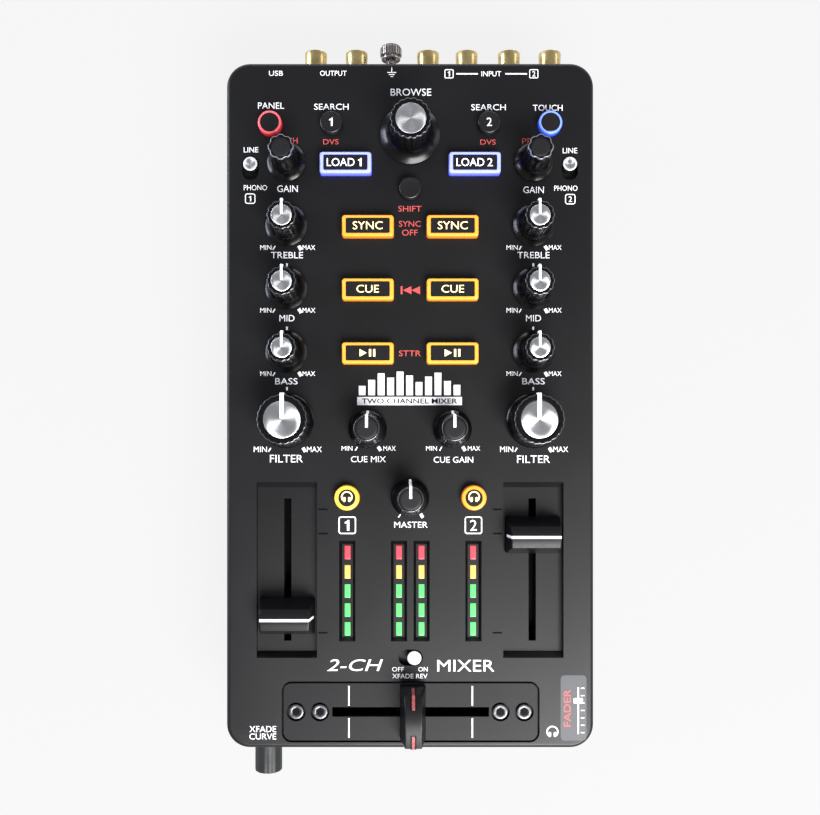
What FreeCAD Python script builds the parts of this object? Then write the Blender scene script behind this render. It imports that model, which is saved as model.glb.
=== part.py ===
import FreeCAD, Part
import math
import os
from dataclasses import dataclass, replace

# Two-channel battle-style DJ mixer, lying on its feet.
# Millimetres, +Z up, +Y towards the rear connectors, origin on the floor under the box centre.

V = FreeCAD.Vector
UP = V(0, 0, 1)
REARWARD = V(0, 1, 0)

# ---- case ----
BODY_W = 134.0
BODY_D = 250.0
CORNER_R = 8.5
PANEL_Z = 41.0
PANEL_T = 2.5
PANEL_IN = PANEL_Z - PANEL_T
TOP_FILLET = 1.6
WALL_T = 2.4
SPLIT_Z = 13.0
FLOOR_Z = 3.0
FLOOR_T = 2.2
TRAY_WALL_T = 2.6
LIP_TOP_Z = 15.0
LIP_OUT = 2.5
LIP_IN = 3.7
BOTTOM_CHAMFER = 1.2
HALF_W = BODY_W / 2
HALF_D = BODY_D / 2

# ---- protrusions that set the overall box ----
CURVE_KNOB_OUT = 14.6
GROUND_OUT = 12.4
Y_SHIFT = (CURVE_KNOB_OUT - GROUND_OUT) / 2

# ---- fixings ----
BOSSES = [(sx * 60.5, y) for sx in (-1, 1) for y in (-100.0, 0.0, 100.0)]
BOSS_R = 3.5
PILOT_R = 1.25
PILOT_TOP_Z = 25.0
PILLAR_R = 4.4
CLEAR_R = 1.6
CASE_HEAD_R = 2.75
CASE_HEAD_H = 2.0
CASE_HEAD_Z = 3.4
CASE_COUNTERBORE_R = 3.1
CASE_SCREW_TOP_Z = 23.0
POSTS = [(30.5, 53.5), (-30.5, 53.5), (30.5, -20.0), (-30.5, -20.0)]
POST_R = 2.4
STANDOFFS = [(44.0, 88.0), (-44.0, 88.0), (44.0, 0.0), (-44.0, 0.0), (44.0, -88.0), (-44.0, -88.0)]
STANDOFF_R = 2.5
FEET = [(54.0, 114.0), (-54.0, 114.0), (54.0, -114.0), (-54.0, -114.0)]
FOOT_R = 6.5

# ---- boards ----
LOWER_BOARD_Z = 14.4
UPPER_BOARD_Z = 26.4
BOARD_T = 1.6
BOARD_HALF_W = 62.0
UPPER_BOARD_TOP = UPPER_BOARD_Z + BOARD_T
LOWER_BOARD_TOP = LOWER_BOARD_Z + BOARD_T
BOSS_NOTCH_R = 4.2

# ---- rotary controls ----
SHAFT_R = 3.0
SHAFT_CLEAR = 0.06
PANEL_HOLE_R = 3.6
KNOB_GAP = 0.8
SHAFT_BOTTOM_Z = 29.2
SHAFT_GRIP_H = 10.0
POT_BODY = (9.7, 11.0, 6.8)
ENCODER_BODY = (12.0, 12.0, 7.0)
CHANNEL_X = 44.9
EQ_ROWS = {"treble": 65.3, "mid": 42.4, "bass": 19.3}
GAIN_Y = 88.3
FILTER_Y = -5.7
CUE_X = 15.4
CUE_Y = -8.75
MASTER_XY = (0.0, -33.6)
BROWSE_XY = (0.0, 98.3)
PLUNGER_R = 1.5
PLUNGER_TOP_Z = 33.0

# ---- buttons ----
BUTTON_FLANGE = (37.4, 38.2)
BUTTON_STEM_R = 1.6
BUTTON_STEM_Z = 32.2
FLANGE_OVER = 0.9
ROUND_H = 3.0
RECT_H = 3.6
RECT_W = 18.9
RECT_D = 7.9
RECT_R = 1.0
RECT_INLAY = (15.8, 5.4)
INLAY_T = 0.3
HOLE_GAP = 0.12
TACT_SIZE = 6.0
TACT_H = 3.5
ROUND_BUTTONS = {
    "panel_button": (-50.9, 102.3, 4.35, 3.45),
    "touch_button": (50.8, 102.3, 4.35, 3.45),
    "search_button_1": (-28.6, 102.4, 4.1, 0.0),
    "search_button_2": (28.6, 102.4, 4.1, 0.0),
    "shift_button": (0.0, 78.7, 4.1, 0.0),
    "monitor_button_1": (-22.9, -33.6, 4.6, 3.05),
    "monitor_button_2": (23.1, -33.6, 4.6, 3.05),
}
RECT_BUTTONS = {
    "load_button_1": (-23.4, 87.6),
    "load_button_2": (23.4, 87.6),
    "sync_button_1": (-15.35, 64.8),
    "sync_button_2": (15.35, 64.8),
    "cue_button_1": (-15.35, 41.9),
    "cue_button_2": (15.35, 41.9),
    "play_button_1": (-15.35, 18.8),
    "play_button_2": (15.35, 18.8),
}

# ---- slide switches: centre of slot, rest offset of the cap, long axis ----
SLOT_L = 8.9
SLOT_W = 5.9
SWITCH_TRAVEL = 2.7
SWITCH_CAP_R = 2.6
SWITCH_CAP_UP = 0.8
SHUTTER_Z = (36.6, 37.4)
SWITCHES = {
    "line_switch_1": (-58.2, 86.6, "y"),
    "line_switch_2": (58.2, 86.6, "y"),
    "reverse_switch": (0.2, -92.0, "x"),
}

# ---- channel faders ----
FADER_X = 44.95
FADER_Y = -60.0
FADER_RECESS = (22.0, 64.1)
FADER_FLOOR_Z = 38.0
FADER_PAN_Z = 36.4
FADER_SLOT = (2.7, 52.3)
FADER_SLOT_Y = -60.2
FADER_TRAVEL = 45.0
FADER_REST = {1: -77.0, 2: -47.4}
CAP_BASE = (20.2, 13.3)
CAP_TOP = (17.6, 7.9)
CAP_Z = (38.6, 49.4)
LEVER_T = 1.2
LEVER_W = 6.0

# ---- level meters ----
METER_X = (-22.9, -4.05, 4.2, 23.1)
METER_Y = -67.7
METER_MOUTH = (5.9, 36.7)
METER_FLOOR = (4.0, 34.2)
METER_FLOOR_Z = 39.2
LED_Y = (-53.8, -60.9, -67.9, -74.9, -81.8)
LED_SIZE = (2.2, 5.0)

# ---- crossfader ----
XF_CENTRE = (0.2, -111.75)
XF_PLATE = (93.0, 21.2)
XF_GROOVE = 0.5
XF_PLATE_R = 3.1
XF_PLATE_Z = 38.6
XF_SHELF_Z = 36.6
XF_SLOT = (57.2, 3.5)
XF_SCREW_X = (-41.6, -32.9, 32.9, 41.6)
XF_SCREW_R = 1.5
XF_HEAD_R = 2.75
XF_COUNTERBORE_R = 3.45
XF_HEAD_Z = 39.3
XF_HEX = 2.5
XF_REST_X = 1.0
XF_CAP_BASE = (9.4, 20.2)
XF_CAP_TOP = (5.9, 18.8)
XF_CAP_Z = (41.6, 56.1)
XF_ROD_R = 1.5
XF_ROD_Y = 4.0
XF_ROD_Z = 31.2

# ---- rear connectors ----
REAR_Z = 26.0
RCA_X = (-35.6, -20.1, 7.0, 21.7, 37.8, 53.3)
RCA_R = 4.15
RCA_OUT = 9.5
RCA_BLOCK_W = 10.4
GROUND_X = -7.1
GROUND_SHANK_R = 2.0
GROUND_HEAD = (4.1, 4.5)
BUSH_OUT = 4.0
USB_X = -49.5
USB_Z = 21.6
USB_SHELL = (12.0, 10.8)
USB_OUT = 0.6

# ---- front connectors ----
FRONT_Z = 21.0
CURVE_X = -54.3
PHONES_BIG_X = 52.0
PHONES_SMALL_X = 36.0


# ---------------------------------------------------------------- helpers

def save(name, solids):
    """Write one node as STEP, moved so that the origin is under the box centre."""
    shape = solids[0] if len(solids) == 1 else Part.makeCompound(solids)
    shape = shape.copy()
    shape.translate(V(0, Y_SHIFT, 0))
    shape.exportStep("parts/" + name + ".step")


def fuse(shapes):
    """Join solids into one clean solid."""
    return shapes[0].fuse(shapes[1:]).removeSplitter()


def box(cx, cy, w, d, z0, z1):
    """Upright box centred on cx, cy."""
    return Part.makeBox(w, d, z1 - z0, V(cx - w / 2, cy - d / 2, z0))


def prism(cx, cy, w, d, r, z0, z1):
    """Upright box with rounded corners."""
    body = box(cx, cy, w, d, z0, z1)
    edges = [e for e in body.Edges if abs(e.Vertexes[0].Z - e.Vertexes[1].Z) > 1e-6]
    return body.makeFillet(r, edges)


def cyl(x, y, z0, z1, r):
    """Upright cylinder."""
    return Part.makeCylinder(r, z1 - z0, V(x, y, z0), UP)


def cyl_y(x, z, y0, y1, r):
    """Cylinder lying along Y."""
    return Part.makeCylinder(r, y1 - y0, V(x, y0, z), REARWARD)


def frustum(cx, cy, low, high, z0, z1):
    """Tapered block from one rectangle to another."""
    wires = []
    for (w, d), z in ((low, z0), (high, z1)):
        corners = [(-w / 2, -d / 2), (w / 2, -d / 2), (w / 2, d / 2), (-w / 2, d / 2)]
        points = [V(cx + x, cy + y, z) for x, y in corners]
        wires.append(Part.makePolygon(points + points[:1]))
    return Part.makeLoft(wires, True, True)


def stadium(cx, cy, length, width, axis, z0, z1):
    """Round-ended slot along x or y."""
    w, d = (length, width) if axis == "x" else (width, length)
    return prism(cx, cy, w, d, width / 2 - 0.001, z0, z1)


def top_edges(shape, z):
    """Edges that lie flat at height z."""
    return [e for e in shape.Edges if all(abs(v.Z - z) < 1e-6 for v in e.Vertexes)]


def hex_prism(x, y, flats, z0, z1):
    """Upright hexagonal prism measured across its flats."""
    radius = flats / math.sqrt(3)
    points = [V(x + radius * math.cos(a), y + radius * math.sin(a), z0)
              for a in (math.radians(60 * i) for i in range(6))]
    face = Part.Face(Part.makePolygon(points + points[:1]))
    return face.extrude(V(0, 0, z1 - z0))


# ---------------------------------------------------------------- knobs

@dataclass(frozen=True)
class KnobForm:
    """Profile of one knob family, heights above the panel."""
    base_r: float
    waist_r: float
    waist_h: float
    top_r: float
    height: float
    disc_r: float
    flutes: int
    flute_depth: float
    pointer_w: float = 0.0
    pointer_from: float = 0.2
    pointer_proud: float = 0.3
    pointer_low: float = 4.0
    pointer_top: float = -0.3


BROWSE_FORM = KnobForm(10.8, 7.4, 6.5, 7.2, 18.2, 5.3, 18, 0.45)
GAIN_FORM = KnobForm(6.95, 4.75, 5.5, 4.5, 18.5, 3.35, 8, 0.45, 0.8, 3.9, 0.3, 5.0, 1.2)
EQ_FORM = KnobForm(7.55, 5.4, 5.5, 5.15, 16.7, 3.6, 12, 0.35, 0.9, 0.2, 0.8)
FILTER_FORM = KnobForm(9.95, 9.1, 3.4, 8.85, 15.5, 6.5, 22, 0.4, 1.5, 0.2, 0.6)
CUE_FORM = KnobForm(6.95, 5.6, 6.0, 4.6, 15.5, 3.9, 0, 0.0, 0.95, 0.2, 0.3, 13.2)


def knob_profile(form):
    """Revolved outer form: flat rim, hollow-curved skirt, slightly tapered barrel."""
    low = KNOB_GAP
    rim = low + 1.1
    mid_r = form.waist_r + 0.22 * (form.base_r - form.waist_r)
    mid_z = rim + 0.45 * (form.waist_h - rim)
    edge = 0.45
    start = V(form.base_r, 0, rim)
    waist = V(form.waist_r, 0, form.waist_h)
    shoulder = V(form.top_r, 0, form.height - edge)
    crown = V(form.top_r - edge, 0, form.height)
    lines = [
        Part.makeLine(V(0, 0, low), V(form.base_r - 0.3, 0, low)),
        Part.makeLine(V(form.base_r - 0.3, 0, low), V(form.base_r, 0, low + 0.3)),
        Part.makeLine(V(form.base_r, 0, low + 0.3), start),
        Part.Arc(start, V(mid_r, 0, mid_z), waist).toShape(),
        Part.makeLine(waist, shoulder),
        Part.makeLine(shoulder, crown),
        Part.makeLine(crown, V(0, 0, form.height)),
        Part.makeLine(V(0, 0, form.height), V(0, 0, low)),
    ]
    face = Part.Face(Part.Wire(lines))
    return face.revolve(V(0, 0, 0), UP, 360)


def pointer_solid(form):
    """Raised line: a skin along the knob's own profile, cut to the line's width."""
    grow = form.pointer_proud
    outer = knob_profile(replace(form, base_r=form.base_r + 0.3, waist_r=form.waist_r + grow,
                                 top_r=form.top_r + grow, height=form.height + 0.3))
    inner = knob_profile(replace(form, base_r=form.base_r - 0.6, waist_r=form.waist_r - 0.6,
                                 top_r=form.top_r - 0.6, height=form.height - 0.6))
    low = form.height - form.pointer_low
    high = form.height - form.pointer_top
    strip = Part.makeBox(form.pointer_w, form.base_r - 0.5 - form.pointer_from, high - low,
                         V(-form.pointer_w / 2, form.pointer_from, low))
    return outer.cut(inner).common(strip).Solids[0]


def knob_solids(form, shaft_low):
    """Cap, disc, pointer and shaft about the local axis, z = 0 on the panel."""
    cap = knob_profile(form)
    cuts = [cyl(0, 0, KNOB_GAP - 0.1, SHAFT_GRIP_H, SHAFT_R)]
    ring = cyl(0, 0, KNOB_GAP - 0.1, 2.4, form.base_r - 1.3)
    cuts.append(ring.cut(cyl(0, 0, 0, 3, SHAFT_R + 1.2)))
    flute_r = 0.28 * form.top_r if form.flutes else 0.0
    for i in range(form.flutes):
        angle = 2 * math.pi * (i + 0.5) / form.flutes
        reach = form.top_r + flute_r - form.flute_depth
        x = reach * math.cos(angle)
        y = reach * math.sin(angle)
        cuts.append(cyl(x, y, form.waist_h + 0.8, form.height + 1, flute_r))
    disc = cyl(0, 0, form.height - INLAY_T, form.height, form.disc_r)
    solids = [cyl(0, 0, shaft_low, SHAFT_GRIP_H, SHAFT_R)]
    if form.pointer_w:
        pointer = pointer_solid(form)
        cuts.append(pointer)
        disc = disc.cut(pointer)
        solids.append(pointer)
    cuts.append(cyl(0, 0, form.height - INLAY_T, form.height + 1, form.disc_r))
    return [cap.cut(cuts)] + disc.Solids + solids


def place_up(solids, x, y):
    """Move knob solids from their own axis to a place on the panel."""
    placed = []
    for solid in solids:
        copy = solid.copy()
        copy.translate(V(x, y, PANEL_Z))
        placed.append(copy)
    return placed


def make_knobs():
    """All knobs on the panel, the browse plunger and the front curve knob."""
    shaft_low = SHAFT_BOTTOM_Z - PANEL_Z
    for index, side in ((1, -1), (2, 1)):
        x = side * CHANNEL_X
        save("gain_knob_%d" % index, place_up(knob_solids(GAIN_FORM, shaft_low), x, GAIN_Y))
        for band, y in EQ_ROWS.items():
            save("%s_knob_%d" % (band, index), place_up(knob_solids(EQ_FORM, shaft_low), x, y))
        save("filter_knob_%d" % index, place_up(knob_solids(FILTER_FORM, shaft_low), x, FILTER_Y))
    save("cue_mix_knob", place_up(knob_solids(CUE_FORM, shaft_low), -CUE_X, CUE_Y))
    save("cue_gain_knob", place_up(knob_solids(CUE_FORM, shaft_low), CUE_X, CUE_Y))
    save("master_knob", place_up(knob_solids(CUE_FORM, shaft_low), *MASTER_XY))
    browse = place_up(knob_solids(BROWSE_FORM, PLUNGER_TOP_Z - PANEL_Z), *BROWSE_XY)
    save("browse_knob", browse)
    bx, by = BROWSE_XY
    save("browse_plunger", [cyl(bx, by, 29.4, PLUNGER_TOP_Z - 0.05, PLUNGER_R)])
    save("curve_knob", curve_knob())


def curve_knob():
    """Small fluted knob on the front wall with its shaft and white end mark."""
    face_y = -HALF_D
    tip_y = face_y - CURVE_KNOB_OUT
    near_y = face_y - KNOB_GAP
    barrel = cyl_y(CURVE_X, FRONT_Z, tip_y, near_y, 5.2)
    rims = [e for e in barrel.Edges if len(e.Vertexes) == 1]
    cap = barrel.makeFillet(0.5, rims)
    cuts = []
    for i in range(14):
        angle = 2 * math.pi * (i + 0.5) / 14
        x = CURVE_X + 6.0 * math.cos(angle)
        z = FRONT_Z + 6.0 * math.sin(angle)
        cuts.append(cyl_y(x, z, tip_y - 1, near_y - 2.5, 1.15))
    cuts.append(cyl_y(CURVE_X, FRONT_Z, near_y - 9.0, near_y + 1, SHAFT_R))
    mark = Part.makeBox(1.0, 0.5, 4.4, V(CURVE_X - 0.5, tip_y, FRONT_Z + 0.4))
    cap = cap.cut(cuts + [mark])
    shaft = cyl_y(CURVE_X, FRONT_Z, near_y - 9.0, -117.2, SHAFT_R)
    return [cap, mark, shaft]


# ---------------------------------------------------------------- buttons and switches

def button_stem(x, y):
    """Round stem under a button flange."""
    return cyl(x, y, BUTTON_STEM_Z, BUTTON_FLANGE[0], BUTTON_STEM_R)


def make_buttons():
    """Every push button: cap, flange and stem in one, with a dark inlay on the lit ones."""
    low, high = BUTTON_FLANGE
    for name, (x, y, r, inlay_r) in ROUND_BUTTONS.items():
        top = PANEL_Z + ROUND_H
        cap = cyl(x, y, high, top, r)
        cap = cap.makeFillet(0.5, top_edges(cap, top))
        body = fuse([cap, cyl(x, y, low, high, r + FLANGE_OVER), button_stem(x, y)])
        solids = [body]
        if inlay_r:
            inlay = cyl(x, y, top - INLAY_T, top, inlay_r)
            solids = [body.cut(inlay), inlay]
        save(name, solids)
    for name, (x, y) in RECT_BUTTONS.items():
        top = PANEL_Z + RECT_H
        cap = prism(x, y, RECT_W, RECT_D, RECT_R, high, top)
        cap = cap.makeFillet(0.35, top_edges(cap, top))
        flange = box(x, y, RECT_W + 2 * FLANGE_OVER, RECT_D + 2 * FLANGE_OVER, low, high)
        body = fuse([cap, flange, button_stem(x, y)])
        inlay = box(x, y, RECT_INLAY[0], RECT_INLAY[1], top - INLAY_T, top)
        save(name, [body.cut(inlay), inlay])


def switch_rest(x, y, axis):
    """Centre of a slide switch cap at rest, at the upper or right end of its travel."""
    half = SWITCH_TRAVEL / 2
    return (x + half, y) if axis == "x" else (x, y + half)


def make_switches():
    """White slide caps, each with the shutter that closes its slot and a square stem."""
    for name, (x, y, axis) in SWITCHES.items():
        cx, cy = switch_rest(x, y, axis)
        top = PANEL_Z + SWITCH_CAP_UP
        cap = cyl(cx, cy, SHUTTER_Z[1], top, SWITCH_CAP_R)
        cap = cap.makeFillet(0.5, top_edges(cap, top))
        w, d = (15.0, 8.0) if axis == "x" else (8.0, 15.0)
        shutter = box(cx, cy, w, d, SHUTTER_Z[0], SHUTTER_Z[1])
        stem = box(cx, cy, 3.0, 3.0, 31.0, SHUTTER_Z[0])
        save(name, [fuse([cap, shutter, stem])])


# ---------------------------------------------------------------- faders

def fader_cap(cx, cy, low, high, z0, z1, crown_r, crown_axis):
    """Hollow tapered cap with a crowned roof and a hub for the metal lever."""
    outer = frustum(cx, cy, low, high, z0, z1)
    if crown_axis == "x":
        crown = Part.makeCylinder(crown_r, 60, V(cx - 30, cy, z1 - crown_r), V(1, 0, 0))
    else:
        crown = Part.makeCylinder(crown_r, 60, V(cx, cy - 30, z1 - crown_r), REARWARD)
    outer = outer.common(crown)
    thin = 3.0
    inner_low = (low[0] - thin, low[1] - thin)
    inner_high = (high[0] - thin, high[1] - thin)
    depth = 0.62 * (z1 - z0)
    share = depth / (z1 - z0)
    mid = tuple(a + (b - a) * share for a, b in zip(inner_low, inner_high))
    hollow = frustum(cx, cy, inner_low, mid, z0 - 0.01, z0 + depth)
    return outer, hollow


def make_faders():
    """Channel fader caps and levers, crossfader cap and lever."""
    z0, z1 = CAP_Z
    for index, side in ((1, -1), (2, 1)):
        x = side * FADER_X
        y = FADER_REST[index]
        outer, hollow = fader_cap(x, y, CAP_BASE, CAP_TOP, z0, z1, 11.0, "x")
        hub = box(x, y, LEVER_T + 3.0, LEVER_W + 2.6, z0 + 0.6, z0 + 8.0)
        tang = box(x, y, LEVER_T, LEVER_W, 31.0, z0 + 7.4)
        groove = box(x, y, CAP_BASE[0] + 2, 1.25, z1 - 0.35, z1 + 1)
        cap = outer.cut([hollow.cut(hub), tang, groove])
        inlay = box(x, y, CAP_TOP[0] - 1.2, 1.25, z1 - 0.35, z1 - 0.02).common(outer)
        save("channel_fader_cap_%d" % index, [cap, inlay])
        carriage = box(x, y, 6.2, 11.0, 30.2, 34.2)
        save("channel_fader_lever_%d" % index, [fuse([tang, carriage])])
    x = XF_REST_X
    y = XF_CENTRE[1]
    z0, z1 = XF_CAP_Z
    outer, hollow = fader_cap(x, y, XF_CAP_BASE, XF_CAP_TOP, z0, z1, 24.0, "x")
    hub = box(x, y, 5.4, 9.0, z0 + 0.4, z0 + 11.0)
    tang = box(x, y, 5.0, 1.6, 33.0, z0 + 10.0)
    cuts = [hollow.cut(hub), tang]
    inlays = []
    for end in (-1, 1):
        slope = Part.makeBox(1.3, 4.6, z1 - z0 + 2, V(x - 0.65, min(end * 6.0, end * 10.6), z0 - 1))
        slope.translate(V(0, y, 0))
        shell = outer.cut(frustum(x, y, (9.4, 19.2), (5.9, 17.8), z0 - 0.01, z1 - 0.5))
        inlay = slope.common(shell)
        inlays.extend(inlay.Solids)
        cuts.append(slope.common(shell))
    save("crossfader_cap", [outer.cut(cuts)] + inlays)
    block = box(x, y, 12.0, 13.0, 28.7, 33.7)
    bores = [Part.makeCylinder(XF_ROD_R + SHAFT_CLEAR, 20, V(x - 10, y + s * XF_ROD_Y, XF_ROD_Z), V(1, 0, 0))
             for s in (-1, 1)]
    save("crossfader_lever", [fuse([tang, block]).cut(bores)])


# ---------------------------------------------------------------- case

def top_shell():
    """Outer walls and panel before any opening is cut."""
    outer = prism(0, 0, BODY_W, BODY_D, CORNER_R, SPLIT_Z, PANEL_Z)
    outer = outer.makeFillet(TOP_FILLET, top_edges(outer, PANEL_Z))
    inner = prism(0, 0, BODY_W - 2 * WALL_T, BODY_D - 2 * WALL_T, CORNER_R - WALL_T, SPLIT_Z - 1, PANEL_IN)
    return outer.cut(inner)


def panel_openings():
    """Everything that is cut through the panel from above."""
    low = PANEL_IN - 4
    high = PANEL_Z + 1
    cuts = []
    knob_spots = [BROWSE_XY, MASTER_XY, (-CUE_X, CUE_Y), (CUE_X, CUE_Y)]
    for side in (-1, 1):
        x = side * CHANNEL_X
        knob_spots += [(x, GAIN_Y), (x, FILTER_Y)] + [(x, y) for y in EQ_ROWS.values()]
    cuts += [cyl(x, y, low, high, PANEL_HOLE_R) for x, y in knob_spots]
    cuts += [cyl(x, y, low, high, r + HOLE_GAP) for x, y, r, _ in ROUND_BUTTONS.values()]
    gap = 2 * HOLE_GAP
    cuts += [prism(x, y, RECT_W + gap, RECT_D + gap, RECT_R + HOLE_GAP, low, high)
             for x, y in RECT_BUTTONS.values()]
    cuts += [stadium(x, y, SLOT_L, SLOT_W, axis, low, high) for x, y, axis in SWITCHES.values()]
    for x in METER_X:
        cuts.append(frustum(x, METER_Y, METER_FLOOR, METER_MOUTH, METER_FLOOR_Z, PANEL_Z + 0.001))
        for y in LED_Y:
            cuts.append(box(x, y, LED_SIZE[0] + 0.1, LED_SIZE[1] + 0.1, low, PANEL_Z))
    for side in (-1, 1):
        x = side * FADER_X
        cuts.append(fader_recess(x))
        cuts.append(box(x, FADER_SLOT_Y, FADER_SLOT[0], FADER_SLOT[1], low, high))
    return cuts


def fader_recess(x):
    """Straight-sided recess with a short ramp at each end."""
    w, d = FADER_RECESS
    half = d / 2
    run = 2.0
    points = [
        V(x - w / 2, FADER_Y - half, PANEL_Z + 0.001),
        V(x - w / 2, FADER_Y + half, PANEL_Z + 0.001),
        V(x - w / 2, FADER_Y + half - run, FADER_FLOOR_Z),
        V(x - w / 2, FADER_Y - half + run, FADER_FLOOR_Z),
    ]
    return Part.Face(Part.makePolygon(points + points[:1])).extrude(V(w, 0, 0))


def wall_openings():
    """Holes in the rear and front walls."""
    cuts = [cyl_y(x, REAR_Z, HALF_D - 5, HALF_D + 1, 5.0) for x in RCA_X]
    cuts.append(cyl_y(GROUND_X, REAR_Z, HALF_D - 5, HALF_D + 1, 3.7))
    usb = Part.makeBox(USB_SHELL[0] + 0.3, 6, USB_SHELL[1] + 0.3,
                       V(USB_X - USB_SHELL[0] / 2 - 0.15, HALF_D - 5, USB_Z - USB_SHELL[1] / 2 - 0.15))
    cuts.append(usb)
    cuts.append(cyl_y(CURVE_X, FRONT_Z, -HALF_D - 1, -HALF_D + 5, PANEL_HOLE_R))
    cuts.append(cyl_y(PHONES_BIG_X, FRONT_Z, -HALF_D - 1, -HALF_D + 5, 5.3))
    cuts.append(cyl_y(PHONES_SMALL_X, FRONT_Z, -HALF_D - 1, -HALF_D + 5, 3.3))
    return cuts


def make_top_case():
    """Moulded top half: walls, panel, pans, bosses and posts."""
    shell = top_shell()
    w, d = FADER_RECESS
    adds = [box(s * FADER_X, FADER_Y, w + 3, d + 3, FADER_PAN_Z, PANEL_IN + 0.1) for s in (-1, 1)]
    adds.append(box(XF_CENTRE[0], -110.9, 100.0, 23.6, XF_SHELF_Z, PANEL_IN + 0.1))
    adds += [cyl(x, y, SPLIT_Z + 0.05, PANEL_IN + 0.1, BOSS_R) for x, y in BOSSES]
    adds += [cyl(x, y, UPPER_BOARD_TOP, PANEL_IN + 0.1, POST_R) for x, y in POSTS]
    body = shell.fuse(adds)
    cuts = panel_openings() + wall_openings()
    cx, cy = XF_CENTRE
    pocket_w = XF_PLATE[0] + 2 * XF_GROOVE
    pocket_d = XF_PLATE[1] + 2 * XF_GROOVE
    cuts.append(prism(cx, cy, pocket_w, pocket_d, XF_PLATE_R + XF_GROOVE, XF_PLATE_Z, PANEL_Z + 1))
    cuts.append(box(cx, cy, XF_SLOT[0] + 2, XF_SLOT[1] + 3, XF_SHELF_Z - 1, PANEL_Z))
    cuts += [cyl(x, cy, XF_SHELF_Z - 1, PANEL_Z, XF_SCREW_R + 0.1) for x in XF_SCREW_X]
    cuts += [cyl(x, y, SPLIT_Z - 1, PILOT_TOP_Z, PILOT_R) for x, y in BOSSES]
    save("top_case", [body.cut(cuts).removeSplitter()])


def make_bottom_case():
    """Shallow tray with a locating lip, screw pillars and board standoffs."""
    outer = prism(0, 0, BODY_W, BODY_D, CORNER_R, FLOOR_Z, SPLIT_Z)
    outer = outer.makeChamfer(BOTTOM_CHAMFER, top_edges(outer, FLOOR_Z))
    t = TRAY_WALL_T
    inner = prism(0, 0, BODY_W - 2 * t, BODY_D - 2 * t, CORNER_R - t, FLOOR_Z + FLOOR_T, SPLIT_Z + 1)
    lip = prism(0, 0, BODY_W - 2 * LIP_OUT, BODY_D - 2 * LIP_OUT, CORNER_R - LIP_OUT, 9.0, LIP_TOP_Z)
    lip = lip.cut(prism(0, 0, BODY_W - 2 * LIP_IN, BODY_D - 2 * LIP_IN, CORNER_R - LIP_IN, 8.0, LIP_TOP_Z + 1))
    lip = lip.cut([cyl(x, y, SPLIT_Z, LIP_TOP_Z + 1, BOSS_R + 0.3) for x, y in BOSSES])
    base = FLOOR_Z + FLOOR_T - 0.1
    adds = [lip]
    adds += [cyl(x, y, base, SPLIT_Z, PILLAR_R) for x, y in BOSSES]
    adds += [cyl(x, y, base, LOWER_BOARD_Z, STANDOFF_R) for x, y in STANDOFFS]
    cuts = [cyl(x, y, FLOOR_Z - 1, SPLIT_Z + 1, CLEAR_R) for x, y in BOSSES]
    cuts += [cyl(x, y, FLOOR_Z - 1, CASE_HEAD_Z + CASE_HEAD_H, CASE_COUNTERBORE_R) for x, y in BOSSES]
    save("bottom_case", [outer.cut(inner).fuse(adds).cut(cuts).removeSplitter()])


def make_fasteners():
    """Six case screws from beneath, four rubber feet, four crossfader screws."""
    screws = []
    seat = CASE_HEAD_Z + CASE_HEAD_H
    for x, y in BOSSES:
        head = cyl(x, y, CASE_HEAD_Z, seat, CASE_HEAD_R)
        head = head.makeFillet(0.5, top_edges(head, CASE_HEAD_Z))
        cross = [box(x, y, 2.8, 0.6, CASE_HEAD_Z - 0.1, CASE_HEAD_Z + 1.0),
                 box(x, y, 0.6, 2.8, CASE_HEAD_Z - 0.1, CASE_HEAD_Z + 1.0)]
        screws.append(fuse([head, cyl(x, y, seat, CASE_SCREW_TOP_Z, PILOT_R)]).cut(cross))
    save("case_screws", screws)
    feet = []
    for x, y in FEET:
        foot = Part.makeCone(FOOT_R - 0.6, FOOT_R, FLOOR_Z, V(x, y, 0), UP)
        feet.append(foot.cut(cyl(x, y, -0.1, 0.5, 3.0)))
    save("rubber_feet", feet)
    screws = []
    y = XF_CENTRE[1]
    for x in XF_SCREW_X:
        head = cyl(x, y, XF_HEAD_Z, PANEL_Z - 0.1, XF_HEAD_R)
        head = head.makeChamfer(0.3, top_edges(head, PANEL_Z - 0.1))
        shank = cyl(x, y, 35.2, XF_HEAD_Z, XF_SCREW_R)
        screws.append(fuse([head, shank]).cut(hex_prism(x, y, XF_HEX, PANEL_Z - 1.1, PANEL_Z)))
    save("crossfader_screws", screws)


def make_crossfader_plate():
    """Removable plate with its lever slot and four counterbored screw holes."""
    cx, cy = XF_CENTRE
    plate = prism(cx, cy, XF_PLATE[0], XF_PLATE[1], XF_PLATE_R, XF_PLATE_Z, PANEL_Z)
    plate = plate.makeChamfer(0.25, top_edges(plate, PANEL_Z))
    cuts = [box(cx, cy, XF_SLOT[0], XF_SLOT[1], XF_PLATE_Z - 1, PANEL_Z + 1)]
    cuts += [cyl(x, cy, XF_PLATE_Z - 1, PANEL_Z, XF_SCREW_R + 0.1) for x in XF_SCREW_X]
    cuts += [cyl(x, cy, XF_HEAD_Z, PANEL_Z + 1, XF_COUNTERBORE_R) for x in XF_SCREW_X]
    save("crossfader_plate", [plate.cut(cuts)])


# ---------------------------------------------------------------- connectors

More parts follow.
